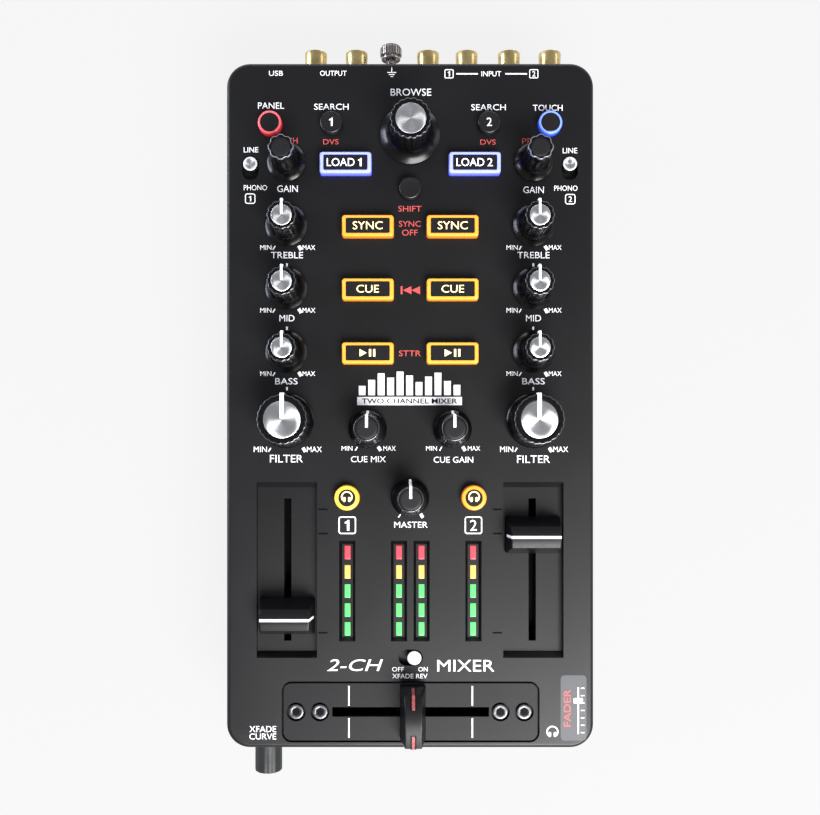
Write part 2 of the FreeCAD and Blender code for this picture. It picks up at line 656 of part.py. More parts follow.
def make_rear_connectors():
    """Six phono sockets, the square data socket and the ground terminal."""
    wall_in = HALF_D - WALL_T
    collar_y = HALF_D + 1.0
    tip_y = HALF_D + RCA_OUT
    solids = []
    for x in RCA_X:
        block = Part.makeBox(RCA_BLOCK_W, wall_in - 0.1 - 109.5, 15.0,
                             V(x - RCA_BLOCK_W / 2, 109.5, LOWER_BOARD_TOP))
        collar = cyl_y(x, REAR_Z, wall_in - 0.2, collar_y, 4.9)
        core = cyl_y(x, REAR_Z, collar_y - 0.1, tip_y - 1.0, 3.45)
        bore = cyl_y(x, REAR_Z, tip_y - 13.0, tip_y + 1, 1.6)
        solids.append(fuse([block, collar, core]).cut(bore))
        sleeve = cyl_y(x, REAR_Z, collar_y, tip_y, RCA_R)
        rim = [e for e in sleeve.Edges if len(e.Vertexes) == 1 and abs(e.Vertexes[0].Y - tip_y) < 1e-6]
        solids.append(sleeve.makeChamfer(0.35, rim).cut(cyl_y(x, REAR_Z, collar_y - 1, tip_y + 1, 3.45)))
    save("rca_sockets", solids)
    save("usb_socket", [usb_socket()])
    bush_y = HALF_D + BUSH_OUT
    bushing = fuse([cyl_y(GROUND_X, REAR_Z, 118.0, bush_y, 3.6), cyl_y(GROUND_X, REAR_Z, HALF_D, 126.4, 5.0)])
    save("ground_bushing", [bushing.cut(cyl_y(GROUND_X, REAR_Z, 117.0, bush_y + 1, GROUND_SHANK_R + SHAFT_CLEAR))])
    head_r, head_l = GROUND_HEAD
    tip = HALF_D + GROUND_OUT
    head = cyl_y(GROUND_X, REAR_Z, tip - head_l, tip, head_r)
    rims = [e for e in head.Edges if len(e.Vertexes) == 1]
    head = head.makeChamfer(0.4, rims)
    knurl = []
    for i in range(24):
        angle = 2 * math.pi * i / 24
        x = GROUND_X + (head_r + 0.25) * math.cos(angle)
        z = REAR_Z + (head_r + 0.25) * math.sin(angle)
        knurl.append(cyl_y(x, z, tip - head_l - 1, tip + 1, 0.45))
    shank = cyl_y(GROUND_X, REAR_Z, 119.0, tip - head_l, GROUND_SHANK_R)
    save("ground_screw", [fuse([head.cut(knurl), shank])])
    washer_y = tip - head_l - 0.05
    washer = cyl_y(GROUND_X, REAR_Z, washer_y - 0.8, washer_y, 3.6)
    save("ground_washer", [washer.cut(cyl_y(GROUND_X, REAR_Z, 120, 140, GROUND_SHANK_R + SHAFT_CLEAR))])


def usb_socket():
    """Square data socket: housing, keyed mouth and contact tongue."""
    w, h = USB_SHELL
    mouth_y = HALF_D + USB_OUT
    housing = Part.makeBox(w, mouth_y - 109.5, h, V(USB_X - w / 2, 109.5, USB_Z - h / 2))
    half_w = 4.23
    half_h = 3.9
    cut = 1.9
    outline = [(-half_w, -half_h), (half_w, -half_h), (half_w, half_h - cut), (half_w - cut, half_h),
               (cut - half_w, half_h), (-half_w, half_h - cut)]
    points = [V(USB_X + x, mouth_y + 0.01, USB_Z + z) for x, z in outline]
    mouth = Part.Face(Part.makePolygon(points + points[:1])).extrude(V(0, -9.0, 0))
    tongue = Part.makeBox(5.6, 4.2, 3.0, V(USB_X - 2.8, mouth_y - 9.1, USB_Z - 1.5))
    return fuse([housing.cut(mouth), tongue])


def make_front_connectors():
    """Large and small headphone sockets on the lower board."""
    wall_in = -HALF_D + WALL_T + 0.1
    face_y = -HALF_D - 0.4
    big = Part.makeBox(13.0, 18.4, 10.0, V(PHONES_BIG_X - 6.5, wall_in, LOWER_BOARD_TOP))
    big = fuse([big, cyl_y(PHONES_BIG_X, FRONT_Z, face_y, wall_in + 1, 5.2)])
    small = Part.makeBox(8.0, 14.0, 10.0, V(PHONES_SMALL_X - 4.0, wall_in, LOWER_BOARD_TOP))
    small = fuse([small, cyl_y(PHONES_SMALL_X, FRONT_Z, face_y, wall_in + 1, 3.2)])
    save("headphone_sockets", [
        big.cut(cyl_y(PHONES_BIG_X, FRONT_Z, face_y - 1, face_y + 17.0, 3.25)),
        small.cut(cyl_y(PHONES_SMALL_X, FRONT_Z, face_y - 1, face_y + 13.0, 1.8)),
    ])


# ---------------------------------------------------------------- inner parts

def make_boards():
    """Control board, main board and the header that joins them."""
    notches = [cyl(x, y, 10, 30, BOSS_NOTCH_R) for x, y in BOSSES]
    upper = box(0, 5.5, 2 * BOARD_HALF_W, 205.0, UPPER_BOARD_Z, UPPER_BOARD_TOP).cut(notches)
    lower = prism(0, 0, 2 * BOARD_HALF_W, 242.0, 5.0, LOWER_BOARD_Z, LOWER_BOARD_TOP).cut(notches)
    header = box(0, 40.0, 5.0, 50.0, LOWER_BOARD_TOP, UPPER_BOARD_Z)
    save("circuit_boards", [upper, lower, header])


def pot_body(x, y, size):
    """Potentiometer or encoder housing with a blind shaft hole."""
    w, d, h = size
    body = box(x, y, w, d, UPPER_BOARD_TOP, UPPER_BOARD_TOP + h)
    return body.cut(cyl(x, y, UPPER_BOARD_TOP + 0.9, UPPER_BOARD_TOP + h + 1, SHAFT_R + SHAFT_CLEAR))


def make_rotary_bodies():
    """Thirteen upright potentiometers, the front one, and the browse encoder."""
    spots = [MASTER_XY, (-CUE_X, CUE_Y), (CUE_X, CUE_Y)]
    for side in (-1, 1):
        x = side * CHANNEL_X
        spots += [(x, GAIN_Y), (x, FILTER_Y)] + [(x, y) for y in EQ_ROWS.values()]
    pots = [pot_body(x, y, POT_BODY) for x, y in spots]
    front = Part.makeBox(9.7, 6.5, 10.0, V(CURVE_X - 4.85, -121.5, LOWER_BOARD_TOP))
    pots.append(front.cut(cyl_y(CURVE_X, FRONT_Z, -122, -116.5, SHAFT_R + SHAFT_CLEAR)))
    save("rotary_pots", pots)
    x, y = BROWSE_XY
    w, d, h = ENCODER_BODY
    body = box(x, y, w, d, UPPER_BOARD_TOP, UPPER_BOARD_TOP + h)
    cup = cyl(x, y, 32.4, UPPER_BOARD_TOP + h + 1, SHAFT_R + SHAFT_CLEAR)
    well = cyl(x, y, 28.7, 33.0, PLUNGER_R + SHAFT_CLEAR)
    save("browse_encoder", [body.cut([cup, well])])


def make_board_switches():
    """Tact switches under the buttons and slide switches under the white caps."""
    spots = [(x, y) for x, y, _, _ in ROUND_BUTTONS.values()] + list(RECT_BUTTONS.values())
    save("button_switches", [box(x, y, TACT_SIZE, TACT_SIZE, UPPER_BOARD_TOP, UPPER_BOARD_TOP + TACT_H)
                             for x, y in spots])
    bodies = []
    for x, y, axis in SWITCHES.values():
        w, d = (14.0, 8.6) if axis == "x" else (8.6, 14.0)
        run = 3.3 + SWITCH_TRAVEL
        sw, sd = (run, 3.3) if axis == "x" else (3.3, run)
        body = box(x, y, w, d, UPPER_BOARD_TOP, 33.0)
        bodies.append(body.cut(box(x, y, sw, sd, 30.4, 34.0)))
    save("slide_switches", bodies)


def make_tracks():
    """Fader housings under the panel and the crossfader frame with its two rods."""
    housings = []
    for side in (-1, 1):
        x = side * FADER_X
        body = box(x, FADER_SLOT_Y, 9.0, 60.0, UPPER_BOARD_TOP, 35.8)
        body = body.cut([box(x, FADER_SLOT_Y, 6.6, 57.2, 29.6, 34.7), box(x, FADER_SLOT_Y, 2.4, 53.0, 34.0, 36.5)])
        housings.append(body)
    save("channel_fader_tracks", housings)
    cx, cy = XF_CENTRE
    top = box(0, cy, 90.0, 16.0, 35.1, XF_SHELF_Z)
    cuts = [box(cx, cy, 60.0, 4.4, 34, 37)]
    cuts += [cyl(x, cy, 34, 37, XF_SCREW_R) for x in XF_SCREW_X]
    frame = [top.cut(cuts)]
    frame += [box(s * 36.0, cy, 1.6, 14.0, 27.6, 35.1) for s in (-1, 1)]
    frame.append(box(0, cy, 73.6, 14.0, 26.1, 27.6))
    body = fuse(frame)
    rods = [Part.makeCylinder(XF_ROD_R, 73.6, V(-36.8, cy + s * XF_ROD_Y, XF_ROD_Z), V(1, 0, 0)) for s in (-1, 1)]
    save("crossfader_track", [body.cut(rods)] + rods)


def make_meter_leds():
    """Twenty light pipes, five for each meter bar, with their carriers."""
    solids = []
    for x in METER_X:
        carrier = box(x, METER_Y, 4.4, 36.0, UPPER_BOARD_TOP, 30.0)
        pipes = [box(x, y, LED_SIZE[0], LED_SIZE[1], 29.9, METER_FLOOR_Z - 0.05) for y in LED_Y]
        solids.append(fuse([carrier] + pipes))
    save("meter_leds", solids)


def main():
    """Build and write every node."""
    os.makedirs("parts", exist_ok=True)
    make_top_case()
    make_bottom_case()
    make_fasteners()
    make_crossfader_plate()
    make_knobs()
    make_buttons()
    make_switches()
    make_faders()
    make_rear_connectors()
    make_front_connectors()
    make_boards()
    make_rotary_bodies()
    make_board_switches()
    make_tracks()
    make_meter_leds()


main()
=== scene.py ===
"""Looks of a compact two-channel DJ mixer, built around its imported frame.

Lengths are in millimetres until a mesh is made. Places are in the frame of the
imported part: +X right, +Y to the rear sockets, +Z up out of the panel.
"""

import math
from dataclasses import dataclass
from enum import Enum
from typing import Any, Iterable, Sequence

import bmesh
import bpy
from mathutils import Matrix, Vector

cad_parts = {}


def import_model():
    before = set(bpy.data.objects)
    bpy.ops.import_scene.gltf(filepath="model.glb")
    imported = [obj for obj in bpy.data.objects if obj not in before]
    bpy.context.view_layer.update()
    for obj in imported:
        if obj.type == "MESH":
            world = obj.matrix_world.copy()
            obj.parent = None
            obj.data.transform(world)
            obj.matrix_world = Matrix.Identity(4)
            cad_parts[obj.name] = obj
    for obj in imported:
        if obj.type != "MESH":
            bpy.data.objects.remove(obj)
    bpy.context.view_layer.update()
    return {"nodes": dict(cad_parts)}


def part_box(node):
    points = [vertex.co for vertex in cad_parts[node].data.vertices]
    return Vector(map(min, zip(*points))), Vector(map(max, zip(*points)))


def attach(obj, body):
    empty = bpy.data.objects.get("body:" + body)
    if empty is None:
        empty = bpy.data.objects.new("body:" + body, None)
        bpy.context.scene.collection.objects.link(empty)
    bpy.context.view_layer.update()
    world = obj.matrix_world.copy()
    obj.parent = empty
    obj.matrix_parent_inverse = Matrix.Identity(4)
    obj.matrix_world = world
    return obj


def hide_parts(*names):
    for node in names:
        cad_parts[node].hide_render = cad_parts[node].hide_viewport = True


MM = 0.001
# The case's middle stands this far behind the frame's origin.
CASE_Y = 1.1
PANEL_Z = 41.0
# Underside and face of the panel's printing, and of what is printed over it.
INK_Z = (PANEL_Z - 0.01, PANEL_Z + 0.03)
OVERPRINT_Z = (INK_Z[0], INK_Z[1] + 0.015)
# Shaft of every potentiometer.
SHAFT_R = 3.0
# Stem of a button from its switch up, as (radius, height over the panel).
STEM = ((1.4, -8.8), (1.6, -8.6), (1.6, -3.4))
# Edges bent by more than this many degrees stay sharp: knobs and fader caps.
KNOB_SHARP = 52.0
CAP_SHARP = 30.0

Point = tuple[float, float, float]
Pair = tuple[float, float]
Outline = list[Point]


# ---- colours and nodes

def linear(code: str) -> tuple[float, float, float, float]:
    """Turn an sRGB hex code into a linear colour.

    Args:
        code: six hex digits, with or without a leading hash.
    Returns:
        Red, green, blue and alpha, each 0 to 1.
    """
    digits = code.lstrip("#")
    channels = [int(digits[i:i + 2], 16) / 255 for i in (0, 2, 4)]
    bent = [c / 12.92 if c <= 0.04045 else ((c + 0.055) / 1.055) ** 2.4 for c in channels]
    return (bent[0], bent[1], bent[2], 1.0)


def feed(tree: bpy.types.NodeTree, node: bpy.types.Node, inputs: dict) -> None:
    """Set or link the inputs of a node.

    Args:
        tree: node tree that holds the node.
        node: the node.
        inputs: value or output socket for each input, by name or number.
    """
    for key, value in inputs.items():
        socket = node.inputs[key]
        if isinstance(value, bpy.types.NodeSocket):
            tree.links.new(value, socket)
        else:
            socket.default_value = value


def add(tree: bpy.types.NodeTree, kind: str, inputs: dict | None = None,
        stops: Sequence[tuple[float, str]] = (), **settings: Any) -> bpy.types.Node:
    """Add one node, set its properties, and set or link its inputs.

    Args:
        tree: node tree that receives the node.
        kind: Blender's node type.
        inputs: value or output socket for each input, by name or number.
        stops: place and hex colour of each stop, for a colour ramp.
        settings: node properties by name.
    Returns:
        The new node.
    """
    node = tree.nodes.new(kind)
    for name, value in settings.items():
        setattr(node, name, value)
    feed(tree, node, inputs or {})
    for index, (place, code) in enumerate(stops):
        ramp = node.color_ramp.elements
        stop = ramp[index] if index < 2 else ramp.new(place)
        stop.position = place
        stop.color = linear(code)
    return node


# ---- finishes

@dataclass(frozen=True)
class Finish:
    """A named procedural material, made once and shared by every piece."""
    name: str

    def dress(self, tree: bpy.types.NodeTree, shader: bpy.types.Node) -> None:
        """Set the shader up; each kind of finish does this its own way."""
        raise NotImplementedError

    def material(self) -> bpy.types.Material:
        """Find or make the material.

        Returns:
            The Blender material of this finish.
        """
        made = bpy.data.materials.get(self.name)
        if made is None:
            made = bpy.data.materials.new(self.name)
            made.use_nodes = True
            tree = made.node_tree
            tree.nodes.clear()
            shader = add(tree, "ShaderNodeBsdfPrincipled")
            add(tree, "ShaderNodeOutputMaterial", {"Surface": shader.outputs["BSDF"]})
            self.dress(tree, shader)
        return made


@dataclass(frozen=True)
class Coated(Finish):
    """Sprayed or powder coat: a fine orange-peel grain that breaks up every highlight."""
    colour: str = "#1C1D1F"
    roughness: float = 0.5
    spread: float = 0.06
    grain: float = 0.35
    relief: float = 0.02
    specular: float = 0.5

    def dress(self, tree: bpy.types.NodeTree, shader: bpy.types.Node) -> None:
        """Grain drives the roughness and a shallow bump.

        Args:
            tree: node tree of the material.
            shader: its Principled shader.
        """
        place = add(tree, "ShaderNodeTexCoord").outputs["Object"]
        fine = add(tree, "ShaderNodeTexNoise",
                   {"Vector": place, "Scale": 1 / (self.grain * MM), "Detail": 3.0, "Roughness": 0.55})
        cloud = add(tree, "ShaderNodeTexNoise",
                    {"Vector": place, "Scale": 1 / (38 * MM), "Detail": 2.0, "Roughness": 0.5})
        blend = add(tree, "ShaderNodeMath", {0: fine.outputs["Fac"], 1: cloud.outputs["Fac"]},
                    operation="ADD")
        rough = add(tree, "ShaderNodeMapRange",
                    {"Value": blend.outputs[0], "From Min": 0.7, "From Max": 1.3,
                     "To Min": self.roughness - self.spread, "To Max": self.roughness + self.spread})
        bump = add(tree, "ShaderNodeBump",
                   {"Strength": 1.0, "Distance": self.relief * MM, "Height": fine.outputs["Fac"]})
        feed(tree, shader, {"Base Color": linear(self.colour), "Specular IOR Level": self.specular,
                            "Roughness": rough.outputs["Result"], "Normal": bump.outputs["Normal"]})


@dataclass(frozen=True)
class Moulded(Finish):
    """Moulded plastic or rubber: slow swirls in the sheen from the flow in the mould."""
    colour: str = "#0D0D0F"
    roughness: float = 0.25
    spread: float = 0.05
    grain: float = 1.4
    relief: float = 0.004
    specular: float = 0.35

    def dress(self, tree: bpy.types.NodeTree, shader: bpy.types.Node) -> None:
        """Flow marks drive the roughness and a very shallow bump.

        Args:
            tree: node tree of the material.
            shader: its Principled shader.
        """
        place = add(tree, "ShaderNodeTexCoord").outputs["Object"]
        flow = add(tree, "ShaderNodeTexNoise",
                   {"Vector": place, "Scale": 1 / (self.grain * MM), "Detail": 4.0, "Distortion": 0.6})
        rough = add(tree, "ShaderNodeMapRange",
                    {"Value": flow.outputs["Fac"], "From Min": 0.3, "From Max": 0.7,
                     "To Min": self.roughness - self.spread, "To Max": self.roughness + self.spread})
        bump = add(tree, "ShaderNodeBump",
                   {"Strength": 1.0, "Distance": self.relief * MM, "Height": flow.outputs["Fac"]})
        feed(tree, shader, {"Base Color": linear(self.colour), "Specular IOR Level": self.specular,
                            "Roughness": rough.outputs["Result"], "Normal": bump.outputs["Normal"]})


@dataclass(frozen=True)
class Spun(Finish):
    """Spun aluminium: fine turning rings that fan each light out into a wedge."""
    dark: str = "#A9ABB0"
    pale: str = "#D4D5DA"
    roughness: float = 0.3
    pitch: float = 0.09
    stretch: float = 0.75

    def dress(self, tree: bpy.types.NodeTree, shader: bpy.types.Node) -> None:
        """Rings by distance from the turning axis; the tangent runs along the rings.

        Args:
            tree: node tree of the material.
            shader: its Principled shader.
        """
        spot = add(tree, "ShaderNodeAttribute", attribute_name="spot").outputs["Vector"]
        flat = add(tree, "ShaderNodeVectorMath", {0: spot, 1: (1.0, 1.0, 0.0)}, operation="MULTIPLY")
        radius = add(tree, "ShaderNodeVectorMath", {0: flat.outputs["Vector"]}, operation="LENGTH")
        rings = add(tree, "ShaderNodeTexNoise",
                    {"W": radius.outputs["Value"], "Scale": 1 / self.pitch, "Detail": 3.0},
                    noise_dimensions="1D")
        tone = add(tree, "ShaderNodeValToRGB", {"Fac": rings.outputs["Fac"]},
                   stops=((0.25, self.dark), (0.75, self.pale)))
        rough = add(tree, "ShaderNodeMapRange",
                    {"Value": rings.outputs["Fac"], "From Min": 0.25, "From Max": 0.75,
                     "To Min": self.roughness - 0.06, "To Max": self.roughness + 0.06})
        round_axis = add(tree, "ShaderNodeVectorMath", {0: (0.0, 0.0, 1.0), 1: flat.outputs["Vector"]},
                         operation="CROSS_PRODUCT")
        along = add(tree, "ShaderNodeVectorTransform", {"Vector": round_axis.outputs["Vector"]},
                    vector_type="VECTOR", convert_from="OBJECT", convert_to="WORLD")
        feed(tree, shader, {"Metallic": 1.0, "Anisotropic": self.stretch,
                            "Base Color": tone.outputs["Color"], "Roughness": rough.outputs["Result"],
                            "Tangent": along.outputs["Vector"]})


@dataclass(frozen=True)
class Plated(Finish):
    """Plated or bare metal: faint wear in patches and hairline handling marks."""
    colour: str = "#E2BE6A"
    worn: str = "#C79C48"
    roughness: float = 0.2
    grain: float = 2.5

    def dress(self, tree: bpy.types.NodeTree, shader: bpy.types.Node) -> None:
        """Wear shifts the tone; hairlines break the sheen.

        Args:
            tree: node tree of the material.
            shader: its Principled shader.
        """
        place = add(tree, "ShaderNodeTexCoord").outputs["Object"]
        wear = add(tree, "ShaderNodeTexNoise",
                   {"Vector": place, "Scale": 1 / (self.grain * MM), "Detail": 5.0})
        squeezed = add(tree, "ShaderNodeMapping", {"Vector": place, "Scale": (1.0, 0.08, 1.0)})
        hair = add(tree, "ShaderNodeTexNoise",
                   {"Vector": squeezed.outputs["Vector"], "Scale": 1 / (0.12 * MM), "Detail": 2.0})
        tone = add(tree, "ShaderNodeValToRGB", {"Fac": wear.outputs["Fac"]},
                   stops=((0.35, self.worn), (0.6, self.colour)))
        rough = add(tree, "ShaderNodeMapRange",
                    {"Value": hair.outputs["Fac"], "From Min": 0.3, "From Max": 0.7,
                     "To Min": self.roughness * 0.75, "To Max": self.roughness * 1.3})
        feed(tree, shader, {"Metallic": 1.0, "Base Color": tone.outputs["Color"],
                            "Roughness": rough.outputs["Result"]})


@dataclass(frozen=True)
class Printed(Finish):
    """Screen-printed ink: flat and even, a touch duller where the ink sits thin."""
    colour: str = "#F2F2F2"
    roughness: float = 0.55
    # Emission strength: painted glow on plain inks, backlight in letters lit from beneath.
    backlight_and_painted_glow: float = 0.0
    specular: float = 0.4

    def dress(self, tree: bpy.types.NodeTree, shader: bpy.types.Node) -> None:
        """Ink thickness varies the roughness; the glow is painted light on plain inks that read brighter
        than lit paint, and backlight in letters lit from beneath.

        Args:
            tree: node tree of the material.
            shader: its Principled shader.
        """
        place = add(tree, "ShaderNodeTexCoord").outputs["Object"]
        cover = add(tree, "ShaderNodeTexNoise", {"Vector": place, "Scale": 1 / (0.5 * MM), "Detail": 2.0})
        rough = add(tree, "ShaderNodeMapRange",
                    {"Value": cover.outputs["Fac"], "From Min": 0.3, "From Max": 0.7,
                     "To Min": self.roughness - 0.07, "To Max": self.roughness + 0.07})
        feed(tree, shader, {"Base Color": linear(self.colour), "Emission Color": linear(self.colour),
                            "Emission Strength": self.backlight_and_painted_glow, "Specular IOR Level": self.specular,
                            "Roughness": rough.outputs["Result"]})


@dataclass(frozen=True)
class Lit(Finish):
    """Translucent plastic lit from beneath: hot where the lamp is near, deeper at the edges."""
    deep: str = "#B36A10"
    hot: str = "#FFC65A"
    strength: float = 1.0
    grain: float = 0.6

    def dress(self, tree: bpy.types.NodeTree, shader: bpy.types.Node) -> None:
        """The stored glow picks the tone; diffuser grain makes it slightly uneven.

        Args:
            tree: node tree of the material.
            shader: its Principled shader.
        """
        glow = add(tree, "ShaderNodeAttribute", attribute_name="glow").outputs["Fac"]
        place = add(tree, "ShaderNodeTexCoord").outputs["Object"]
        grain = add(tree, "ShaderNodeTexNoise",
                    {"Vector": place, "Scale": 1 / (self.grain * MM), "Detail": 2.0})
        uneven = add(tree, "ShaderNodeMapRange",
                     {"Value": grain.outputs["Fac"], "From Min": 0.3, "From Max": 0.7,
                      "To Min": -0.06, "To Max": 0.06})
        level = add(tree, "ShaderNodeMath", {0: glow, 1: uneven.outputs["Result"]},
                    operation="ADD", use_clamp=True)
        tone = add(tree, "ShaderNodeValToRGB", {"Fac": level.outputs[0]},
                   stops=((0.0, self.deep), (1.0, self.hot)))
        feed(tree, shader, {"Roughness": 0.3, "Emission Strength": self.strength,
                            "Base Color": tone.outputs["Color"],
                            "Emission Color": tone.outputs["Color"]})


@dataclass(frozen=True)
class SolderMask(Finish):
    """Green solder mask over copper: paler tracks show through in straight runs."""
    mask: str = "#0E3B22"
    track: str = "#1B5A35"
    pitch: float = 3.0

    def dress(self, tree: bpy.types.NodeTree, shader: bpy.types.Node) -> None:
        """A brick pattern stands for the tracks under the mask.

        Args:
            tree: node tree of the material.
            shader: its Principled shader.
        """
        place = add(tree, "ShaderNodeTexCoord").outputs["Object"]
        runs = add(tree, "ShaderNodeTexBrick",
                   {"Vector": place, "Color1": linear(self.mask), "Color2": linear(self.mask),
                    "Mortar": linear(self.track), "Scale": 1 / (self.pitch * MM), "Mortar Size": 0.05})
        feed(tree, shader, {"Roughness": 0.35, "Base Color": runs.outputs["Color"]})


# Textured black powder coat: soaks up light, shows only a broad soft sheen.
CASE_BLACK = Coated("case_powder_coat", "#09090B", 0.44, 0.05, 0.3, 0.015, 0.26)
# Satin lacquer on the steel crossfader plate: a little smoother than the case.
PLATE_BLACK = Coated("plate_satin_lacquer", "#0D0D0F", 0.46, 0.04, 0.25, 0.01, 0.19)
# Underside of the case: plain moulded black.
BASE_BLACK = Moulded("base_moulded_black", "#141416", 0.5, 0.08, 2.0, 0.01)
# Knobs: polished moulded black that catches thin bright crescents.
KNOB_GLOSS = Moulded("knob_gloss_black", "#050506", 0.24, 0.02, 2.2, 0.0004, 0.24)
# Polished bevel around the top of a knob: its paler colour is a painted highlight, a thin line of light.
KNOB_EDGE_PAINTED_HIGHLIGHT = Moulded("knob_edge_painted_highlight", "#26272B", 0.2, 0.03, 2.2, 0.0004, 0.6)
# The same bevel on the gain knobs, with a still paler painted highlight.
GAIN_EDGE_PAINTED_HIGHLIGHT = Moulded("gain_edge_painted_highlight", "#505258", 0.2, 0.03, 2.2, 0.0004, 0.6)
# Flat field inside the gain knob's lobed ring: fine matte black.
KNOB_MATTE = Moulded("knob_matte_field", "#131315", 0.5, 0.05, 0.5, 0.004, 0.22)
# The front knob: plain satin grey-black.
KNOB_SATIN = Moulded("knob_satin_grey", "#18191B", 0.5, 0.04, 1.0, 0.001, 0.3)
# Spun aluminium discs set into the knobs.
DISC_SPUN = Spun("disc_spun_aluminium", "#B6B7BB", "#DADBDE", 0.33, 0.09, 0.85)
# White paint of the knobs' pointers, with a faint painted glow.
POINTER_WHITE = Printed("pointer_white_paint", "#ECECEE", 0.4, 0.06)
# White, red, grey and black screen-printing inks of the panel; the white and red carry a faint painted
# glow.
INK_WHITE = Printed("ink_white", "#DADBDE", 0.55, 0.07)
INK_RED = Printed("ink_red", "#B84646", 0.55, 0.04)
INK_GREY = Printed("ink_grey", "#3B3C3F", 0.5)
INK_BLACK = Printed("ink_black", "#040405", 0.6, 0.0, 0.05)
# Fader caps: satin moulded black.
CAP_SATIN = Moulded("cap_satin_black", "#0C0C0E", 0.38, 0.05, 0.6, 0.002, 0.17)
# Printed line across a channel fader cap and the pink inlay of the crossfader cap, both with a faint
# painted glow.
LINE_WHITE = Printed("cap_line_white", "#E6E6E8", 0.4, 0.05)
INLAY_PINK = Printed("cap_inlay_pink", "#C9696C", 0.4, 0.05)
# Switch caps: glossy white moulding.
CAP_WHITE = Moulded("switch_gloss_white", "#B4B6BA", 0.26, 0.03, 1.2, 0.001, 0.5)
# Painted shade: a dead black sheet for the shade in pockets, fader tracks, meter channels and cap grooves;
# swallows every highlight.
PAINTED_SHADE_BLACK = Moulded("painted_shade_black", "#020203", 0.6, 0.05, 1.0, 0.001, 0.08)
# Dark plastic behind the slots of the switches; the same black on the sides of their white caps is painted
# shade.
SHUTTER_BLACK_AND_SIDE_SHADE = Moulded("shutter_black_and_side_shade", "#0B0B0C", 0.5, 0.05, 1.0, 0.003)
# Black top plates of the lit buttons and the plain buttons.
BUTTON_BLACK = Moulded("button_satin_black", "#111113", 0.33, 0.04, 0.8, 0.004)
# Lit plastics, one for each lamp colour.
LIT_AMBER = Lit("lit_amber", "#B8640C", "#EA9C36", 0.16)
LIT_ORANGE = Lit("lit_orange", "#A85A12", "#EA9530", 0.22)
LIT_YELLOW = Lit("lit_yellow", "#B07F12", "#F0C242", 0.24)
LIT_BLUE = Lit("lit_lavender_blue", "#2E34E6", "#98A2F6", 0.24)
LIT_RED = Lit("lit_red", "#8E0F18", "#F0606C", 0.4)
LIT_SKY = Lit("lit_sky_blue", "#1B30B0", "#7092FF", 0.45)
# Lit letters cut through the black top plates.
LETTER_WARM = Printed("letter_warm_light", "#FFE2A0", 0.4, 0.5)
LETTER_COOL = Printed("letter_cool_light", "#EEF1FF", 0.4, 0.5)
# Level meter lenses.
LENS_RED = Lit("lens_red", "#8A1A22", "#E23A48", 0.4)
LENS_AMBER = Lit("lens_amber", "#97701C", "#E0A452", 0.34)
LENS_GREEN = Lit("lens_green", "#14702A", "#4CC65E", 0.38)
# Gold flash on the phono sleeves.
GOLD = Plated("gold_flash", "#D6C28C", "#BEA66C", 0.3, 4.0)
# Nickel plate on the ground terminal.
NICKEL = Plated("nickel_plate", "#B9B4B1", "#96918E", 0.28)
# Black oxide on the hex socket screws, black zinc on the case screws: dark metal with a soft sheen.
SCREW_BLACK = Plated("black_oxide_screw", "#5C5C5F", "#4A4A4D", 0.38, 1.6)
ZINC_BLACK = Plated("black_zinc", "#2C2C2F", "#202022", 0.42, 1.2)
# Pressed steel of the parts inside.
STEEL = Plated("pressed_steel", "#B4B5B8", "#9B9C9F", 0.34, 3.0)
# Tinned shell of the data socket.
TINNED = Plated("tinned_shell", "#C6C6C8", "#ABABAE", 0.32, 1.8)
# Moulded black of sockets and switch bodies.
SOCKET_BLACK = Moulded("socket_moulded_black", "#121214", 0.42, 0.05, 1.0, 0.004)
# White insulator inside a phono sleeve.
INSULATOR = Moulded("insulator_white", "#DCD9D2", 0.4, 0.05, 1.0, 0.003)
# Feet: dull black rubber.
RUBBER = Moulded("foot_rubber_dull", "#161616", 0.8, 0.06, 0.6, 0.02)
# Circuit boards: green with a fine run of paler tracks.
BOARD = SolderMask("board_solder_mask")


# ---- outlines

def circle(radius: float, z: float, steps: int = 64) -> Outline:
    """Points of a circle about the local axis.

    Args:
        radius: radius of the circle.
        z: height of the circle.
        steps: number of points.
    Returns:
        The points, counter-clockwise from above.
    """
    turns = [2 * math.pi * i / steps for i in range(steps)]
    return [(radius * math.cos(t), radius * math.sin(t), z) for t in turns]


def rounded(width: float, depth: float, corner: float, z: float, steps: int = 5) -> Outline:
    """Points of a rectangle with round corners about the local axis.

    Args:
        width: size along X.
        depth: size along Y.
        corner: corner radius.
        z: height of the outline.
        steps: points in each corner, less one.
    Returns:
        The points, counter-clockwise from above.
    """
    points = []
    for quarter, (sx, sy) in enumerate(((1, 1), (-1, 1), (-1, -1), (1, -1))):
        cx = sx * (width / 2 - corner)
        cy = sy * (depth / 2 - corner)
        for i in range(steps + 1):
            t = math.pi / 2 * (quarter + i / steps)
            points.append((cx + corner * math.cos(t), cy + corner * math.sin(t), z))
    return points


def hexagon(flats: float, z: float, steps: int) -> Outline:
    """Points along a hexagon, spaced by equal angles so that they match a circle.

    Args:
        flats: size across the flats.
        z: height of the outline.
        steps: number of points.
    Returns:
        The points, counter-clockwise from above.
    """
    points = []
    for i in range(steps):
        t = 2 * math.pi * i / steps
        inside = (t + math.pi / 6) % (math.pi / 3) - math.pi / 6
        r = flats / 2 / math.cos(inside)
        points.append((r * math.cos(t), r * math.sin(t), z))
    return points


def shifted(outline: Iterable[Point], x: float, y: float) -> Outline:
    """Move an outline sideways by x and y."""
    return [(px + x, py + y, pz) for px, py, pz in outline]


